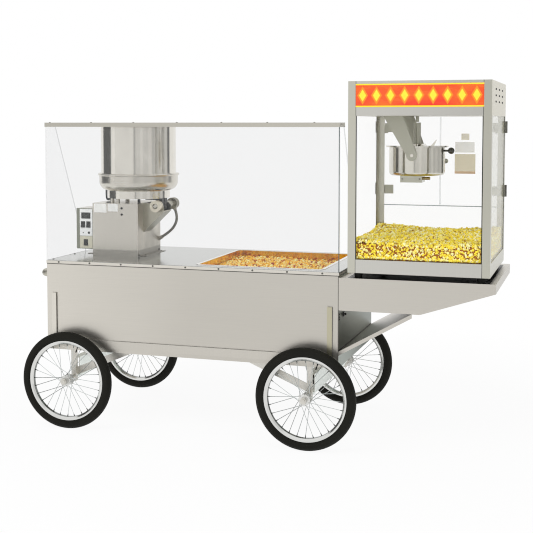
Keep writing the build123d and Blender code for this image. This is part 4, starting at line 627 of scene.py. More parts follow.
def guard_sheet():
    """The guard: darkest at its front pane's right end, with fainter end panes."""
    low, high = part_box("guard_panes")
    skin = Skin("acrylic", ACRYLIC, 0.05)
    behind = skin.y > low.y + GUARD_PANE + FACE
    right = (skin.x > high.x - GUARD_CUT) & (behind < 0.5)
    slopes = (skin.facing("Y") > EDGE_FACING) & behind
    edge = right | ((skin.facing("Z") > EDGE_FACING) | slopes) * WEAK_EDGE
    return clear(skin, (0.082, 0.4), edge, edge_alpha=0.85, faint=behind)


def popper_glass():
    """The popper's fixed panes, with a fainter one at the left."""
    skin = Skin("glass", GLASS, 0.05)
    left = skin.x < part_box("popper_panes")[0].x + LEFT_PANE
    return clear(skin, (0.02, 1.1), skin.facing("Z") > EDGE_FACING, faint=left)


def door_glass():
    """The popper's doors, with steel hinge leaves, knuckles and pulls."""
    skin = Skin("door_glass", DOOR_GLASS, 0.05)
    left = skin.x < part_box("popper_door_left")[0].x + DOOR_EDGE - FACE
    right = skin.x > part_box("popper_door_right")[1].x - DOOR_EDGE + FACE
    steel = (skin.y > DOOR_HINGE_Y + DOOR_HALF + FACE) | left | right
    edge = (skin.facing("Z") | skin.facing("X")) > EDGE_FACING
    return clear(skin, (0.02, 0.6), edge, edge_alpha=0.55, steel=steel)


def sign_print():
    """A lit sign with yellow and orange lozenges on red, in a yellow border."""
    low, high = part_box("popper_sign")
    skin = Skin("sign_print", SIGN_RED, 0.25)
    rise = abs(skin.z.spread(-1.0, 1.0, low.z, high.z))
    run = abs(skin.maths("FRACT", skin.x.spread(0.0, SIGN_LOZENGES, low.x, high.x)) - 0.5)
    reach = run * 2.0 + rise
    wash = skin.noise((6.0, 6.0, 14.0))
    colour = skin.painted(SIGN_RED, (wash.spread(0.0, 0.6), lighter(SIGN_ORANGE, 0.8)),
                          (reach < 0.78, SIGN_ORANGE), ((reach < 0.52) | (rise > 0.88), SIGN_YELLOW))
    skin.coat(colour, wash.spread(0.18, 0.32))
    skin.glow(colour, 0.22)
    return skin.material


def corn(name, colours, rough, burnt, glow):
    """Popped corn from burnt to pale, dark in its hulls, dark in its creases partly by its own colour and
    partly by painted shade, with a faint painted glow.
    """
    crease, middle, crown = colours
    skin = Skin(name, middle, rough)
    swell, tint = (skin.add("Attribute", {}, output="Fac", attribute_name=key) for key in ("swell", "tint"))
    speck = skin.noise(240.0)
    kernel = skin.painted(crease, (tint.ramp(burnt - 0.05, burnt + 0.05), middle),
                          (tint.ramp(0.45, 0.95), crown))
    # Painted shade in part: the low points of each kernel fall to the crease colour.
    lit = (swell + speck.spread(-0.14, 0.14)).ramp(0.0, 0.32)
    hulls = skin.noise(150.0, detail=2.0) > 0.66
    colour = skin.painted(crease, (lit, kernel), (hulls, crease))
    skin.coat(colour, speck.spread(rough - 0.08, rough + 0.1))
    # Painted light: the corn glows faintly in its own colour, though it is no lamp.
    skin.glow(colour, glow)
    skin.bump(speck, strength=0.25, distance=0.0008)
    skin.put("Specular IOR Level", 0.2)
    skin.put("Subsurface Weight", 0.08)
    skin.put("Subsurface Radius", (0.006, 0.004, 0.002))
    return skin.material


def conduit_cover():
    """Grey conduit with soft rings."""
    skin = Skin("conduit_cover", HOSE_GREY, 0.42)
    rings = skin.part("UV", "X").waves(CONDUIT_RINGS)
    grime = skin.noise(40.0)
    tone = rings.spread(0.2, 0.7, -1.0, 1.0) + grime.spread(-0.15, 0.15)
    skin.coat(skin.grained(HOSE_GREY, tone, 0.22), grime.spread(0.34, 0.52))
    skin.bump(rings, strength=0.35, distance=0.0008)
    return skin.material


cooker_steel = cooker_sheet()
arm_steel = brushed("arm_steel", ARM_STEEL, "Z", rough=0.36)
polished_steel = polished("polished_steel", POLISHED, rough=0.1)
# Painted reflection: the chrome rim is dark inside its bed radius.
rim_steel = wheel_metal("rim_steel", CHROME, RIM_DARK_REFLECTION, RIM_BED, rough=0.12)
spoke_steel = wheel_metal("spoke_steel", SPOKE_STEEL, CHROME, HUB_RADIUS, rough=0.25)
# Painted shade: screw heads darkened far below polished steel, standing in for the shade round them; the end
# wall's screws darker still.
screw_steel = polished("screw_steel", lighter(POLISHED, 0.28), rough=0.22)
shaded_screw = polished("shaded_screw", SHADED_SCREW, rough=0.3)
rubber = pebbled("rubber", BLACK_RUBBER, rough=0.7, grain=300.0)
black = pebbled("black_plastic", BLACK_PLASTIC, rough=0.32, grain=420.0)
screen = pebbled("screen", SCREEN, rough=0.18, grain=500.0, strength=0.03)
hose = conduit_cover()
lead_cover = pebbled("lead_cover", LEAD_GREY, rough=0.45, grain=300.0)
nylon = pebbled("nylon", WHITE_NYLON, rough=0.4, grain=300.0)
paper = pebbled("paper", PAPER, rough=0.6, grain=900.0, strength=0.05)
white_card = film("white_card", PAPER, alpha=0.45)
cream_card = film("cream_card", CARD_CREAM, alpha=0.58)
tan_card = film("tan_card", CARD_TAN, alpha=0.72)
trim = film("pane_trim", PANE_TRIM, alpha=0.6)
seam_trim = film("seam_trim", SEAM_TRIM, alpha=0.25)
# The glow values are painted light.
popcorn = corn("popcorn", POPCORN, rough=0.6, burnt=0.03, glow=0.03)
caramel = corn("caramel", CARAMEL, rough=0.32, burnt=0.13, glow=0.12)

# Each material with the names of its nodes
NODE_MATERIALS = (
    (front_sheet(), "front_panel"),
    (pan_sheet(), "cooling_pan"),
    (polished("ring_steel", RING_STEEL, rough=0.12), "bowl_guard heater_skirt"),
    (channel_sheet(), "sign_channels"),
    (polished("handle_steel", HANDLE_STEEL, rough=0.46), "push_handle"),
    (brushed("steel_along", lighter(STEEL, 1.07), "X", SATIN),
     "rear_frame storage_door_left storage_door_right floor_panel shelf_brace"),
    (shelf_sheet(), "extension_shelf"),
    (end_sheet(), "end_panels"),
    (deck_sheet(), "deck_top"),
    (popper_sheet(), "popper_base popper_frame popper_header"),
    (arm_steel, "kettle_hanger popper_motor kettle_stirrer"),
    (cooker_steel, "cooker_base"),
    (control_sheet(), "control_box"),
    (brushed("bracket_steel", BRACKET_STEEL, "Y", FINE_SATIN), "tilt_bracket"),
    (rail_sheet(), "guard_top_rail"),
    (polished_steel, "kettle_lid kettle_lid_flap mixing_paddle"),
    (polished("spun_steel", SPUN, rough=0.24), "cooker_bowl"),
    (kettle_metal(), "kettle_pot"),
    (galvanised(), "axle_frames axles"),
    (cast_metal(), "tilt_shaft"),
    (black, "heat_switch mixer_switch power_switch kettle_handle mixer_motor"),
    (rubber, "popper_feet"),
    (face_plate(), "control_face"),
    (guard_sheet(), "guard_panes"),
    (popper_glass(), "popper_panes"),
    (door_glass(), "popper_door_left popper_door_right"),
    (sign_print(), "popper_sign"),
    (tyre_rubber(), " ".join(wheel + "_tyre" for wheel in WHEELS)),
    (rim_steel, " ".join(wheel + "_rim" for wheel in WHEELS)),
    (spoke_steel, " ".join(wheel + "_spokes" for wheel in WHEELS)),
)
for material, names in NODE_MATERIALS:
    for name in names.split():
        for material_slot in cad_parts[name].material_slots:
            material_slot.material = material


def new_object(name, data):
    """A new object in the scene."""
    item = bpy.data.objects.new(name, data)
    bpy.context.scene.collection.objects.link(item)
    return item


def add_piece(name, data, material, body="cart"):
    """A new piece that moves with a body, with one material."""
    piece = new_object(name, data)
    data.materials.append(material)
    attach(piece, body)
    return piece


def mesh_of(name, shapes, smooth):
    """One mesh from several shapes, each a pair of points and faces."""
    points, faces = [], []
    for shape_points, shape_faces in shapes:
        start = len(points)
        points += [tuple(point) for point in shape_points]
        faces += [tuple(index + start for index in face) for face in shape_faces]
    mesh = bpy.data.meshes.new(name)
    mesh.from_pydata(points, [], faces)
    if smooth:
        mesh.shade_smooth()
    return mesh


def add_shapes(name, shapes, material, body="cart", smooth=False):
    """A new piece made of shapes."""
    return add_piece(name, mesh_of(name, shapes, smooth), material, body)


def turned(profile, at, axis=UPWARD, segments=24):
    """A profile of (radius, height) points turned about an axis at a place. A radius of 0 closes an end."""
    points, rows, faces = [], [], []
    for radius, height in profile:
        count = segments if radius else 1
        rows.append([len(points) + k % count for k in range(segments)])
        turns = [2 * math.pi * k / segments for k in range(count)]
        points += [Vector((radius * math.cos(turn), radius * math.sin(turn), height)) for turn in turns]
    for low, high in zip(rows, rows[1:]):
        for k in range(segments):
            after = (k + 1) % segments
            faces.append(tuple(dict.fromkeys((low[k], low[after], high[after], high[k]))))
    turn = Vector(axis).to_track_quat("Z", "Y").to_matrix().to_4x4()
    move = Matrix.Translation(Vector(at)) @ turn
    return [move @ point for point in points], faces


def scaled(profile, radius, height=1.0):
    """A profile stretched to a radius and a height."""
    return [(share * radius, rise * height) for share, rise in profile]


def shape_of(block):
    """The points and faces of a mesh that is built up, which is freed."""
    block.verts.index_update()
    points = [vertex.co.copy() for vertex in block.verts]
    faces = [tuple(vertex.index for vertex in face.verts) for face in block.faces]
    block.free()
    return points, faces


def slab(corner, opposite, edge):
    """A block between two opposite corners with rounded edges."""
    low = Vector(tuple(map(min, corner, opposite)))
    high = Vector(tuple(map(max, corner, opposite)))
    block = bmesh.new()
    size = Matrix.Diagonal(high - low).to_4x4()
    bmesh.ops.create_cube(block, size=1.0, matrix=Matrix.Translation((low + high) / 2) @ size)
    bmesh.ops.bevel(block, geom=block.edges[:], offset=edge, segments=2, profile=0.5, affect="EDGES")
    return shape_of(block)


def plate(x0, x1, z0, z1, back, thick, edge):
    """A thin upright plate whose back is at one Y."""
    return slab((x0, back - thick, z0), (x1, back, z1), edge)


def strip(path, width_axis, width, thickness):
    """A strap that follows a path in the plane across its width."""
    path = [Vector(point) for point in path]
    across = Vector(width_axis).normalized() * width / 2
    points, faces = [], []
    for k, point in enumerate(path):
        ahead = path[min(k + 1, len(path) - 1)] - path[max(k - 1, 0)]
        out = ahead.cross(across).normalized() * thickness / 2
        points += [point + across + out, point - across + out, point - across - out, point + across - out]
    for k in range(len(path) - 1):
        for j in range(4):
            after = (j + 1) % 4
            faces.append((4 * k + j, 4 * k + after, 4 * k + 4 + after, 4 * k + 4 + j))
    last = 4 * (len(path) - 1)
    faces += [(3, 2, 1, 0), (last, last + 1, last + 2, last + 3)]
    return points, faces


# Cords, and the gland where the lead leaves the popper's header
CONNECTOR = [(0, 0.026), (0.008, 0.026), (0.008, 0.016), (0.0072, 0.0145), (0.0072, 0.009),
             (0.008, 0.0075), (0.008, 0.002), (0.007, 0.0), (0.0041, 0.0)]
RELIEF = [(0.0043, -0.001), (0.0068, -0.001), (0.0066, 0.006), (0.0058, 0.008), (0.0062, 0.014),
          (0.0054, 0.016), (0.0058, 0.022), (0.005, 0.024), (0.0048, 0.027), (0.0041, 0.027)]


def cord_curve(name, pivot, y, route, diameter):
    """A smooth round cord with the route's points as its control points."""
    curve = bpy.data.curves.new(name, "CURVE")
    curve.dimensions = "3D"
    curve.bevel_depth = diameter / 2
    curve.bevel_resolution = 5
    curve.resolution_u = 16
    spline = curve.splines.new("NURBS")
    spline.points.add(len(route) - 1)
    places = [(pivot.x + x, y, pivot.z + z) for x, z in route]
    for point, place in zip(spline.points, places):
        point.co = (*place, 1)
    spline.order_u = 3
    spline.use_endpoint_u = True
    return curve, places


conduit_curve, conduit_places = cord_curve("conduit", TILT_PIVOT, CONDUIT_Y, CONDUIT_ROUTE, CONDUIT_DIAMETER)
conduit = add_piece("conduit", conduit_curve, hose)
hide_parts("bowl_conduit")
lead_curve, lead_places = cord_curve("lead", KETTLE_PIVOT, LEAD_Y, LEAD_ROUTE, LEAD_DIAMETER)
lead = add_piece("lead", lead_curve, lead_cover)
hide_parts("kettle_lead")
first_run = Vector(lead_places[1]) - Vector(lead_places[0])
gland_shapes = [turned(CONNECTOR, lead_places[0]), turned(RELIEF, lead_places[0], first_run)]
gland = add_shapes("lead_gland", gland_shapes, nylon, smooth=True)

# Corn: sizes and places are shares of the step between kernels
KERNEL_SEED = 4
KERNEL_SHAPES = 12
KERNEL_LOBES = 5
KERNELS_PER_PIECE = 2400
LOBE_REACH = (0.38, 0.62)
LOBE_RADIUS = (0.4, 0.58)
KERNEL_CORE = 0.3
KERNEL_SIZE = (1.15, 1.55)
KERNEL_STRAY = 0.3
ROW_STEP = 0.9
TOP_DEPTH = 0.8
LAYER_STEP = 0.7
LAYER_SHIFT = 0.45
CORE_DEPTH = 0.55
HEAP_WAVES = (9.0, 3.0, 8.0)


def kernel_ball():
    """Unit points and faces of a round mesh fine enough for a kernel."""
    ball = bmesh.new()
    bmesh.ops.create_icosphere(ball, subdivisions=2, radius=1.0)
    points, faces = shape_of(ball)
    return np.array(points), np.array(faces)


def kernel_radii(directions, rng):
    """A burst kernel's reach along each direction, as the outside of a few balls."""
    centres = rng.normal(size=(KERNEL_LOBES, 3))
    reaches = rng.uniform(*LOBE_REACH, size=(KERNEL_LOBES, 1))
    centres *= reaches / np.linalg.norm(centres, axis=1, keepdims=True)
    sizes = rng.uniform(*LOBE_RADIUS, size=KERNEL_LOBES)
    along = directions @ centres.T
    inside = sizes ** 2 - (centres ** 2).sum(1) + along ** 2
    reach = np.where(inside > 0, along + np.sqrt(np.maximum(inside, 0)), KERNEL_CORE).max(1)
    return np.maximum(reach, KERNEL_CORE) / reach.max()


def corn_mesh(name, places, sizes, rng):
    """A mesh of kernels with each point's swell and each kernel's tint as attributes."""
    directions, faces = kernel_ball()
    shapes = [kernel_radii(directions, rng) for _ in range(KERNEL_SHAPES)]
    picks = rng.integers(0, KERNEL_SHAPES, len(places))
    turns = rng.normal(size=(len(places), 4))
    turns /= np.linalg.norm(turns, axis=1, keepdims=True)
    points, swell = [], []
    for place, size, pick, turn in zip(places, sizes, picks, turns):
        radii = shapes[pick]
        rotation = np.array(Quaternion(turn).to_matrix())
        points.append(place + size / 2 * (directions * radii[:, None]) @ rotation.T)
        swell.append((radii - radii.min()) / (radii.max() - radii.min()))
    count = len(directions)
    steps = np.arange(len(places))[:, None, None] * count
    all_faces = (faces[None] + steps).reshape(-1, 3)
    tint = np.repeat(rng.uniform(0.0, 1.0, len(places)), count)
    mesh = bpy.data.meshes.new(name)
    mesh.from_pydata(np.concatenate(points).tolist(), [], all_faces.tolist())
    for key, values in (("swell", np.concatenate(swell)), ("tint", tint)):
        mesh.attributes.new(key, "FLOAT", "POINT").data.foreach_set("value", values.astype(np.float32))
    mesh.shade_smooth()
    return mesh


def bed_places(low, high, step, drop, layers, rng):
    """Kernel places over the top and down the sides of a box of corn, and sizes."""
    xs = np.arange(low.x, high.x, ROW_STEP * step)
    ys = np.arange(low.y, high.y, ROW_STEP * step)
    top = high.z - TOP_DEPTH * step
    run, shift, depth = HEAP_WAVES
    waves = [(x, y, 0.5 + 0.5 * math.sin(run * x + shift) * math.cos(depth * y)) for x in xs for y in ys]
    places = [(x, y, top - drop * wave) for x, y, wave in waves]
    for layer in range(1, layers):
        z = top - 0.5 * drop - layer * step * LAYER_STEP
        shift = LAYER_SHIFT * step * (layer % 2)
        places += [(x + shift, y, z) for x in xs for y in (low.y, high.y)]
        places += [(x, y + shift, z) for y in ys for x in (low.x, high.x)]
    places = np.array(places)
    sizes = rng.uniform(*KERNEL_SIZE, len(places)) * step
    places += rng.uniform(-KERNEL_STRAY, KERNEL_STRAY, places.shape) * step
    reach = sizes[:, None] / 2
    return np.clip(places, np.array(low) + reach, np.array(high) - reach), sizes


def lay_corn(node, material, step, drop, layers, front_rise, back_rise, seed):
    """Replaces a bed of corn by loose kernels, a little heaped, over a core in the dark crease colour,
    painted shade between the kernels.
    """
    rng = np.random.default_rng(seed)
    low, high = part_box(node)
    places, sizes = bed_places(low, high, step, drop, layers, rng)
    depth = (places[:, 1] - low.y) / (high.y - low.y)
    height = np.clip((places[:, 2] - low.z) / (high.z - low.z), 0.0, 1.0)
    places[:, 2] += height * (front_rise + (back_rise - front_rise) * depth)
    for k in range(0, len(places), KERNELS_PER_PIECE):
        part = slice(k, k + KERNELS_PER_PIECE)
        name = f"{node}_kernels_{k // KERNELS_PER_PIECE + 1}"
        kernels = add_piece(name, corn_mesh(name, places[part], sizes[part], rng), material)
        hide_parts(node)
    # Painted shade: a block in the dark crease colour fills the heap under the kernels, showing through
    # their gaps.
    inset = CORE_DEPTH * step
    body = slab(low + Vector((inset, inset, 0.0)), high - Vector((inset, inset, drop + inset)), edge=0.004)
    core = mesh_of(node + "_core", [body], smooth=False)
    for key in ("swell", "tint"):
        core.attributes.new(key, "FLOAT", "POINT")
    add_piece(node + "_core", core, material)


lay_corn("popped_corn", popcorn, step=0.015, drop=0.016, layers=10, front_rise=0.0,
         back_rise=0.024, seed=KERNEL_SEED)
lay_corn("caramel_corn", caramel, step=0.016, drop=0.01, layers=2, front_rise=0.008,
         back_rise=0.016, seed=KERNEL_SEED + 1)

# Screws
SCREW_RADIUS = 0.005
SCREW_HEIGHT = 0.64
SMALL_SCREW = 0.0045
SCREW_PROFILE = ((0, 0.45), (0.34, 0.45), (0.4, 0.98), (0.68, 0.9), (0.9, 0.62), (1.0, 0.3), (1.0, 0.0))
LIP_SCREW_XS = [-1.0455 + 0.1795 * k for k in range(9)]
RAIL_SCREW_XS = [-1.0945 + 0.24 * k for k in range(7)]
RAIL_SCREW_INSET = 0.012
END_SCREW_INSET = 0.016
END_SCREW_YS = (-0.34, -0.1)
BASE_SCREW_X = -0.8055
BASE_SCREW_ZS = (1.134, 1.1)
SIDE_SCREWS = ((-0.1087, 0.88), (0.164, 0.883))
WALL_SCREW_Y = -0.37
WALL_SCREW_ZS = (0.664, 0.652, 0.64)
HANDLE_Z = 0.787
FLANGE_YS = (-0.285, 0.285)
FLANGE_THICK = 0.004
FLANGE_SCREWS = ((0.027, 0.0), (-0.0135, 0.0234), (-0.0135, -0.0234))


def add_screws(name, places, axis, radius=SCREW_RADIUS, material=screw_steel, body="cart"):
    """Domed screw heads with a socket, all facing one way."""
    profile = scaled(SCREW_PROFILE, radius, SCREW_HEIGHT * radius)
    shapes = [turned(profile, place, axis, segments=16) for place in places]
    add_shapes(name, shapes, material, body, smooth=True)


deck_low, deck_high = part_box("deck_top")
rail_low, rail_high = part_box("guard_top_rail")
end_low, end_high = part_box("end_panels")
lip_z = (deck_low.z + deck_high.z) / 2
rail_y = rail_low.y + RAIL_SCREW_INSET
add_screws("lip_screws", [(x, deck_low.y, lip_z) for x in LIP_SCREW_XS], FORWARD)
add_screws("rail_screws", [(x, rail_y, rail_high.z) for x in RAIL_SCREW_XS], UPWARD, SMALL_SCREW)
add_screws("end_screws", [(deck_low.x + END_SCREW_INSET, y, deck_high.z) for y in END_SCREW_YS], UPWARD)
add_screws("base_screws", [(BASE_SCREW_X, BASE_FRONT, z) for z in BASE_SCREW_ZS], FORWARD,
           radius=0.0065, material=black)
add_screws("side_screws", [(BASE_RIGHT, y, z) for y, z in SIDE_SCREWS], RIGHTWARD,
           radius=0.0055, material=black)
add_screws("wall_screws", [(end_high.x, WALL_SCREW_Y, z) for z in WALL_SCREW_ZS], RIGHTWARD, SMALL_SCREW,
           shaded_screw)
add_screws("handle_screws", [(end_low.x - FLANGE_THICK, y + across, HANDLE_Z + up)
                             for y in FLANGE_YS for across, up in FLANGE_SCREWS], LEFTWARD, SMALL_SCREW)

# Cooker: display, lamps, bare plates, hold-down bars, lever and the disc's centre
DISPLAY = (-1.047, -0.9935, 1.073, 1.106)
BEZEL = 0.005
SCREEN_INSET = 0.002
LAMP_PROFILE = ((0, 0.003), (0.35, 0.0028), (0.75, 0.002), (0.95, 0.0008), (1.0, 0.0))
LAMP_Z = 0.995
PANEL_LAMPS = ((-1.037, 0.0028), (-1.003, 0.007))
BARE_PLATES = ((-0.9715, -0.8955, 1.1085, 1.157), (-0.888, -0.828, 1.116, 1.157))
BAR_TOP = DECK_TOP + 0.003
HOLD_DOWN_BARS = ((-0.71, -0.678, -0.085, 0.186), (-1.042, -0.98, -0.06, 0.16))
BAR_SCREWS = ((-0.692, -0.06), (-0.692, 0.16), (-1.02, -0.03), (-1.02, 0.13))
LEVER_Y = 0.043
LEVER_PATH = ((-0.97, 1.2345), (-0.9705, 1.205), (-0.969, 1.178), (-0.965, 1.169), (-0.958, 1.168),
              (-0.949, 1.176), (-0.94, 1.185))
DISC_FRONT = -0.0833
DISC_HUB = ((0, 0.005), (0.0035, 0.005), (0.0042, 0.0065), (0.0075, 0.006), (0.0085, 0.0048),
            (0.0088, 0.0022), (0.015, 0.002), (0.0156, 0.0))
x0, x1, z0, z1 = DISPLAY
bars = ((x0, x1, z1 - BEZEL, z1), (x0, x1, z0, z0 + BEZEL), (x0, x0 + BEZEL, z0, z1),
        (x1 - BEZEL, x1, z0, z1))
bezel = [plate(*bar, FACE_FRONT, thick=0.003, edge=0.0008) for bar in bars]
add_shapes("display_bezel", bezel, black)
inset = (place + SCREEN_INSET * way for place, way in zip(DISPLAY, (1, -1, 1, -1)))
add_shapes("display_screen", [plate(*inset, FACE_FRONT, thick=0.0015, edge=0.0004)], screen)
lamps = [turned(scaled(LAMP_PROFILE, radius), (x, FACE_FRONT, LAMP_Z), FORWARD, segments=20)
         for x, radius in PANEL_LAMPS]
add_shapes("panel_lamps", lamps, black, smooth=True)
plates = [plate(*sides, BASE_FRONT, thick=0.0012, edge=0.0005) for sides in BARE_PLATES]
add_shapes("bare_plates", plates, paper)
bars = [slab((x0, y0, DECK_TOP), (x1, y1, BAR_TOP), edge=0.0008) for x0, x1, y0, y1 in HOLD_DOWN_BARS]
add_shapes("hold_down_bars", bars, cooker_steel)
add_screws("bar_screws", [(x, y, BAR_TOP) for x, y in BAR_SCREWS], UPWARD, SMALL_SCREW)
lever = strip([(x, LEVER_Y, z) for x, z in LEVER_PATH], (0, 1, 0), width=0.026, thickness=0.008)
add_shapes("rest_lever", [lever], black, "bowl")
disc_hub = turned(DISC_HUB, (TILT_PIVOT.x, DISC_FRONT, TILT_PIVOT.z), FORWARD)
add_shapes("disc_hub", [disc_hub], polished_steel, "bowl", smooth=True)

# Under the shelf: a latch on the end wall
LATCH_PLACE = Vector((end_high.x, -0.28, 0.652))
LATCH_HALF = Vector((0.0, 0.01, 0.012))
LATCH_THICK = Vector((0.004, 0.0, 0.0))
LATCH_KNOB = ((0, 0.015), (0.0045, 0.015), (0.006, 0.013), (0.006, 0.01), (0.004, 0.008), (0.004, 0.003))
latch = [slab(LATCH_PLACE - LATCH_HALF, LATCH_PLACE + LATCH_THICK + LATCH_HALF, edge=0.0015),
         turned(LATCH_KNOB, LATCH_PLACE, RIGHTWARD, segments=20)]
add_shapes("wall_latch", latch, black, smooth=True)

# Popper: glazing gaskets
GASKET = 0.0045
GASKET_PROUD = 0.0016
pane_low, pane_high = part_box("popper_panes")
header_low, header_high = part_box("popper_header")
gaskets = []
for x in (header_low.x + POPPER_POST, header_high.x - POPPER_POST - GASKET):
    gaskets.append(plate(x, x + GASKET, pane_low.z, pane_high.z, pane_low.y, GASKET_PROUD, edge=0.0005))
for y in (header_low.y + POPPER_POST, header_high.y - POPPER_POST - GASKET):
    for near, far in ((pane_low.x - GASKET_PROUD, pane_low.x), (pane_high.x, pane_high.x + GASKET_PROUD)):
        gaskets.append(slab((near, y, pane_low.z), (far, y + GASKET, pane_high.z), edge=0.0005))
add_shapes("pane_gaskets", gaskets, rubber)

# Bare cards stuck to the inside of the right rear door: sides and material
DOOR_CARDS = {
    "card_top": ((0.964, 1.006, 1.507, 1.541), cream_card),
    "card_upper": ((0.932, 1.034, 1.44, 1.496), white_card),
    "card_lower": ((0.93, 1.039, 1.34, 1.432), cream_card),
    "card_band": ((0.93, 1.039, 1.327, 1.34), tan_card),
}
for name, (sides, material) in DOOR_CARDS.items():
    card = plate(*sides, DOOR_INSIDE, thick=0.0006, edge=0.0002)
    add_shapes(name, [card], material, "popper_right_door")

# Rear doors: hinge plates and edgings that swing, straps and barrels on the posts
HINGE_ZS = (1.214, 1.548)
HINGE_PLATE = 0.048
HINGE_CLEAR = 0.001
EDGING_SIDES = (0.0012, 0.0037)
STRAP_THICK = 0.0022
STRAP_DEPTH = 0.034
STRAP_BELOW = 0.004
STRAP_ABOVE = 0.058
BARREL_OUT = 0.0042
BARREL_INSET = 0.0055
BARREL = ((0, 0.0), (0.0045, 0.0), (0.0052, 0.0015), (0.0052, 0.0295), (0.0046, 0.0305), (0.0052, 0.0315),
          (0.0052, 0.0605), (0.0045, 0.062), (0, 0.062))
door_low, door_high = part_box("popper_door_left")
door_middle = (header_low.x + header_high.x) / 2


def dress_door(body, side, inward):
    """The fittings of one rear door, whose post has its outer face at one X."""
    near = side + inward * (POPPER_POST + HINGE_CLEAR)
    far = near + inward * HINGE_PLATE
    leaves = [plate(near, far, z, z + HINGE_PLATE, DOOR_INSIDE, thick=0.0015, edge=0.0006) for z in HINGE_ZS]
    add_shapes(body + "_plates", leaves, arm_steel, body)
    near, far = (door_middle - inward * off for off in EDGING_SIDES)
    edging = plate(near, far, door_low.z, door_high.z, DOOR_INSIDE, thick=0.001, edge=0.0003)
    add_shapes(body + "_edging", [edging], seam_trim, body)
    out = side - inward * STRAP_THICK
    back = header_high.y
    straps, barrels = [], []
    for z in HINGE_ZS:
        foot = z - STRAP_BELOW
        straps.append(slab((side, back - STRAP_DEPTH, foot), (out, back, z + STRAP_ABOVE), edge=0.0008))
        barrels.append(turned(BARREL, (out - inward * BARREL_OUT, back - BARREL_INSET, foot), segments=16))
    add_shapes(body + "_straps", straps, arm_steel)
    add_shapes(body + "_barrels", barrels, screw_steel, smooth=True)


dress_door("popper_left_door", header_low.x, 1)
dress_door("popper_right_door", header_high.x, -1)

# Popper: the lower rear pane's edging, black patches of painted shade over the vents, and screws in the
# pot's box
REAR_EDGING = (0.0075, 0.0025)
REAR_EDGING_INSET = 0.0035
VENT_ROWS = (-0.03, 0.0, 0.03)
VENT_COLUMNS = (-0.165, 0.0, 0.165)
VENT_HALF = Vector((0.0, 0.026, 0.0042))
VENT_RISE = 0.015
VENT_PROUD = 0.0006
BOX_SCREW_XS = (-0.066, 0.022)
BOX_SCREW_RISE = 0.018
BOX_HALF = 0.048
bottom, top = (door_low.z - below for below in REAR_EDGING)
rear_edging = plate(header_low.x + POPPER_POST, header_high.x - POPPER_POST, bottom, top,
                    pane_high.y - REAR_EDGING_INSET, thick=0.001, edge=0.0003)
add_shapes("rear_pane_edging", [rear_edging], trim)
# Painted shade: thin black patches on the header's sides stand for the dark of the vents.
vents = []
for side, outward in ((header_low, LEFTWARD), (header_high, RIGHTWARD)):
    for across in VENT_COLUMNS:
        for up in VENT_ROWS:
            centre = (header_low + header_high) / 2 + Vector((0.0, across, VENT_RISE + up))
            centre.x = side.x
            out = VENT_PROUD * Vector(outward)
            vents.append(slab(centre - VENT_HALF, centre + VENT_HALF + out, edge=0.0002))
add_shapes("vent_shade_patches", vents, rubber)
pot_low, pot_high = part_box("kettle_pot")
box_y = (pot_low.y + pot_high.y) / 2 - BOX_HALF
add_screws("box_screws", [(KETTLE_PIVOT.x + x, box_y, pot_low.z + BOX_SCREW_RISE) for x in BOX_SCREW_XS],
           FORWARD, radius=0.004, body="kettle")

# Wheels: a nipple at the rim end of each spoke, and a valve
SPOKES = 28
SPOKE_TURN = 2 * math.pi / SPOKES
SPOKE_WRAP = 4 * SPOKE_TURN
SPOKE_CIRCLE = 0.024
SPOKE_OFF = 0.0025
HUB_SPREAD = 0.022
NIPPLE_LENGTH = 0.0124
NIPPLE = ((0, 0.0), (0.0017, 0.0), (0.0022, 0.003), (0.0027, 0.008), (0.0027, NIPPLE_LENGTH),
          (0, NIPPLE_LENGTH))
VALVE_TURN = 5.5 * SPOKE_TURN
VALVE = ((0, 0.0), (0.004, 0.0), (0.004, 0.006), (0.0028, 0.007), (0.0028, 0.02), (0.0036, 0.021),
         (0.0036, 0.031), (0.0026, 0.033), (0, 0.033))


def round_axle(radius, turn, along=0.0):
    """A place round a wheel's axle, and along it."""
    return Vector((radius * math.cos(turn), along, radius * math.sin(turn)))


def rim_fittings(wheel):
    """The nipples and the valve of one wheel."""
    low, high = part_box(wheel + "_rim")
    centre = (low + high) / 2
    nipples = []
    for k in range(SPOKES):
        side = 1 if k % 2 else -1
        ahead = 1 if (k // 2) % 2 else -1
        rim_end = round_axle(RIM_INSIDE, k * SPOKE_TURN, side * SPOKE_OFF)
        hub_end = round_axle(SPOKE_CIRCLE, k * SPOKE_TURN - ahead * SPOKE_WRAP, side * HUB_SPREAD)
        along = (rim_end - hub_end).normalized()
        nipples.append(turned(NIPPLE, centre + rim_end - along * NIPPLE_LENGTH, along, segments=10))
    add_shapes(wheel + "_nipples", nipples, rim_steel, wheel, smooth=True)
    outward = round_axle(1.0, VALVE_TURN)
    valve = turned(VALVE, centre + outward * RIM_INSIDE, -outward, segments=14)
    add_shapes(wheel + "_valve", [valve], rubber, wheel, smooth=True)


for name in WHEELS:
    rim_fittings(name)


# Camera, light and stage
def make_camera():
    """The photograph's camera."""
    data = bpy.data.cameras.new("camera")
    data.sensor_width = SENSOR
    data.lens = SENSOR * CAMERA_FOCAL_PIXELS / IMAGE_SIDE
    data.shift_y = -CAMERA_SHIFT_PIXELS / IMAGE_SIDE
    camera = new_object("camera", data)
    camera.location = CAMERA_PLACE
    camera.rotation_euler = (math.radians(90 - CAMERA_PITCH), 0, math.radians(CAMERA_TURN))
    bpy.context.scene.camera = camera


def seen_directly(nodes):
    """One for camera, glossy and transmission rays, which see the white background."""
    kinds = ("Is Camera Ray", "Is Glossy Ray", "Is Transmission Ray")
    camera, glossy, through = (nodes.add("LightPath", {}, output=kind) for kind in kinds)
    return camera | glossy | through


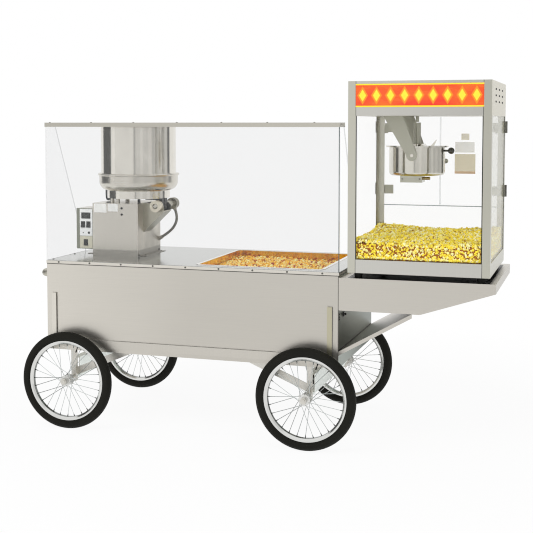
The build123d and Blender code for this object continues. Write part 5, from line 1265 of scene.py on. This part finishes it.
def make_world():
    """A white surround, which lights the cart more softly than it looks."""
    world = bpy.data.worlds.new("world")
    bpy.context.scene.world = world
    world.use_nodes = True
    nodes = Nodes(world.node_tree)
    background = world.node_tree.nodes["Background"].inputs
    nodes.feed(background["Color"], (1, 1, 1))
    nodes.feed(background["Strength"], seen_directly(nodes).spread(WORLD_FILL, 1.0, 0.0, 1.0))


def add_lamp(name, place, target, size, power):
    """A large soft lamp aimed at a point."""
    data = bpy.data.lights.new(name, "AREA")
    data.shape = "RECTANGLE"
    data.size, data.size_y = size
    data.energy = power
    lamp = new_object(name, data)
    lamp.location = place
    lamp.visible_glossy = False
    lamp.rotation_euler = (Vector(target) - Vector(place)).to_track_quat("-Z", "Y").to_euler()


def make_floor():
    """A white floor that shows the shadow near the cart only."""
    half = FLOOR_SIDE / 2
    corners = [(-half, -half, 0), (half, -half, 0), (half, half, 0), (-half, half, 0)]
    mesh = mesh_of("floor", [(corners, [(0, 1, 2, 3)])], smooth=True)
    floor = new_object("floor", mesh)
    floor.location.z = -FACE
    skin = Skin("floor", FLOOR_WHITE, rough=0.9)
    away = skin.add("VectorMath", {0: skin.where("Object")}, output="Value", operation="LENGTH")
    glow = away.spread(FLOOR_GLOW_NEAR, 1.0, *FLOOR_FADE)
    lit = Value(skin, skin.bsdf.outputs[0])
    mixed = skin.add("MixShader", {0: glow * seen_directly(skin), 1: lit, 2: skin.add("Emission", {})})
    skin.feed(skin.tree.nodes["Material Output"].inputs["Surface"], mixed)
    mesh.materials.append(skin.material)


def make_card(start, end, level):
    """A tall curved studio card, which only polished surfaces show."""
    turns = np.radians(np.linspace(start, end, CARD_STEPS))
    points = [(CARD_RADIUS * math.cos(turn), CARD_RADIUS * math.sin(turn), z)
              for z in CARD_ZS for turn in turns]
    faces = [(k, k + 1, CARD_STEPS + k + 1, CARD_STEPS + k) for k in range(CARD_STEPS - 1)]
    mesh = mesh_of("card", [(points, faces)], smooth=True)
    card = new_object("card", mesh)
    skin = Skin("card", (0, 0, 0), 1.0)
    skin.put("Specular IOR Level", 0.0)
    skin.glow((1, 1, 1), level)
    mesh.materials.append(skin.material)
    for rays in ("camera", "diffuse", "transmission", "shadow"):
        setattr(card, "visible_" + rays, False)


make_camera()
make_world()
for name, lamp in LAMPS.items():
    add_lamp(name, *lamp)
make_floor()
for card in CARDS:
    make_card(*card)
bpy.context.scene.view_settings.view_transform = "Standard"
bpy.context.scene.cycles.transparent_max_bounces = 24
bpy.context.scene.cycles.filter_width = 1.1
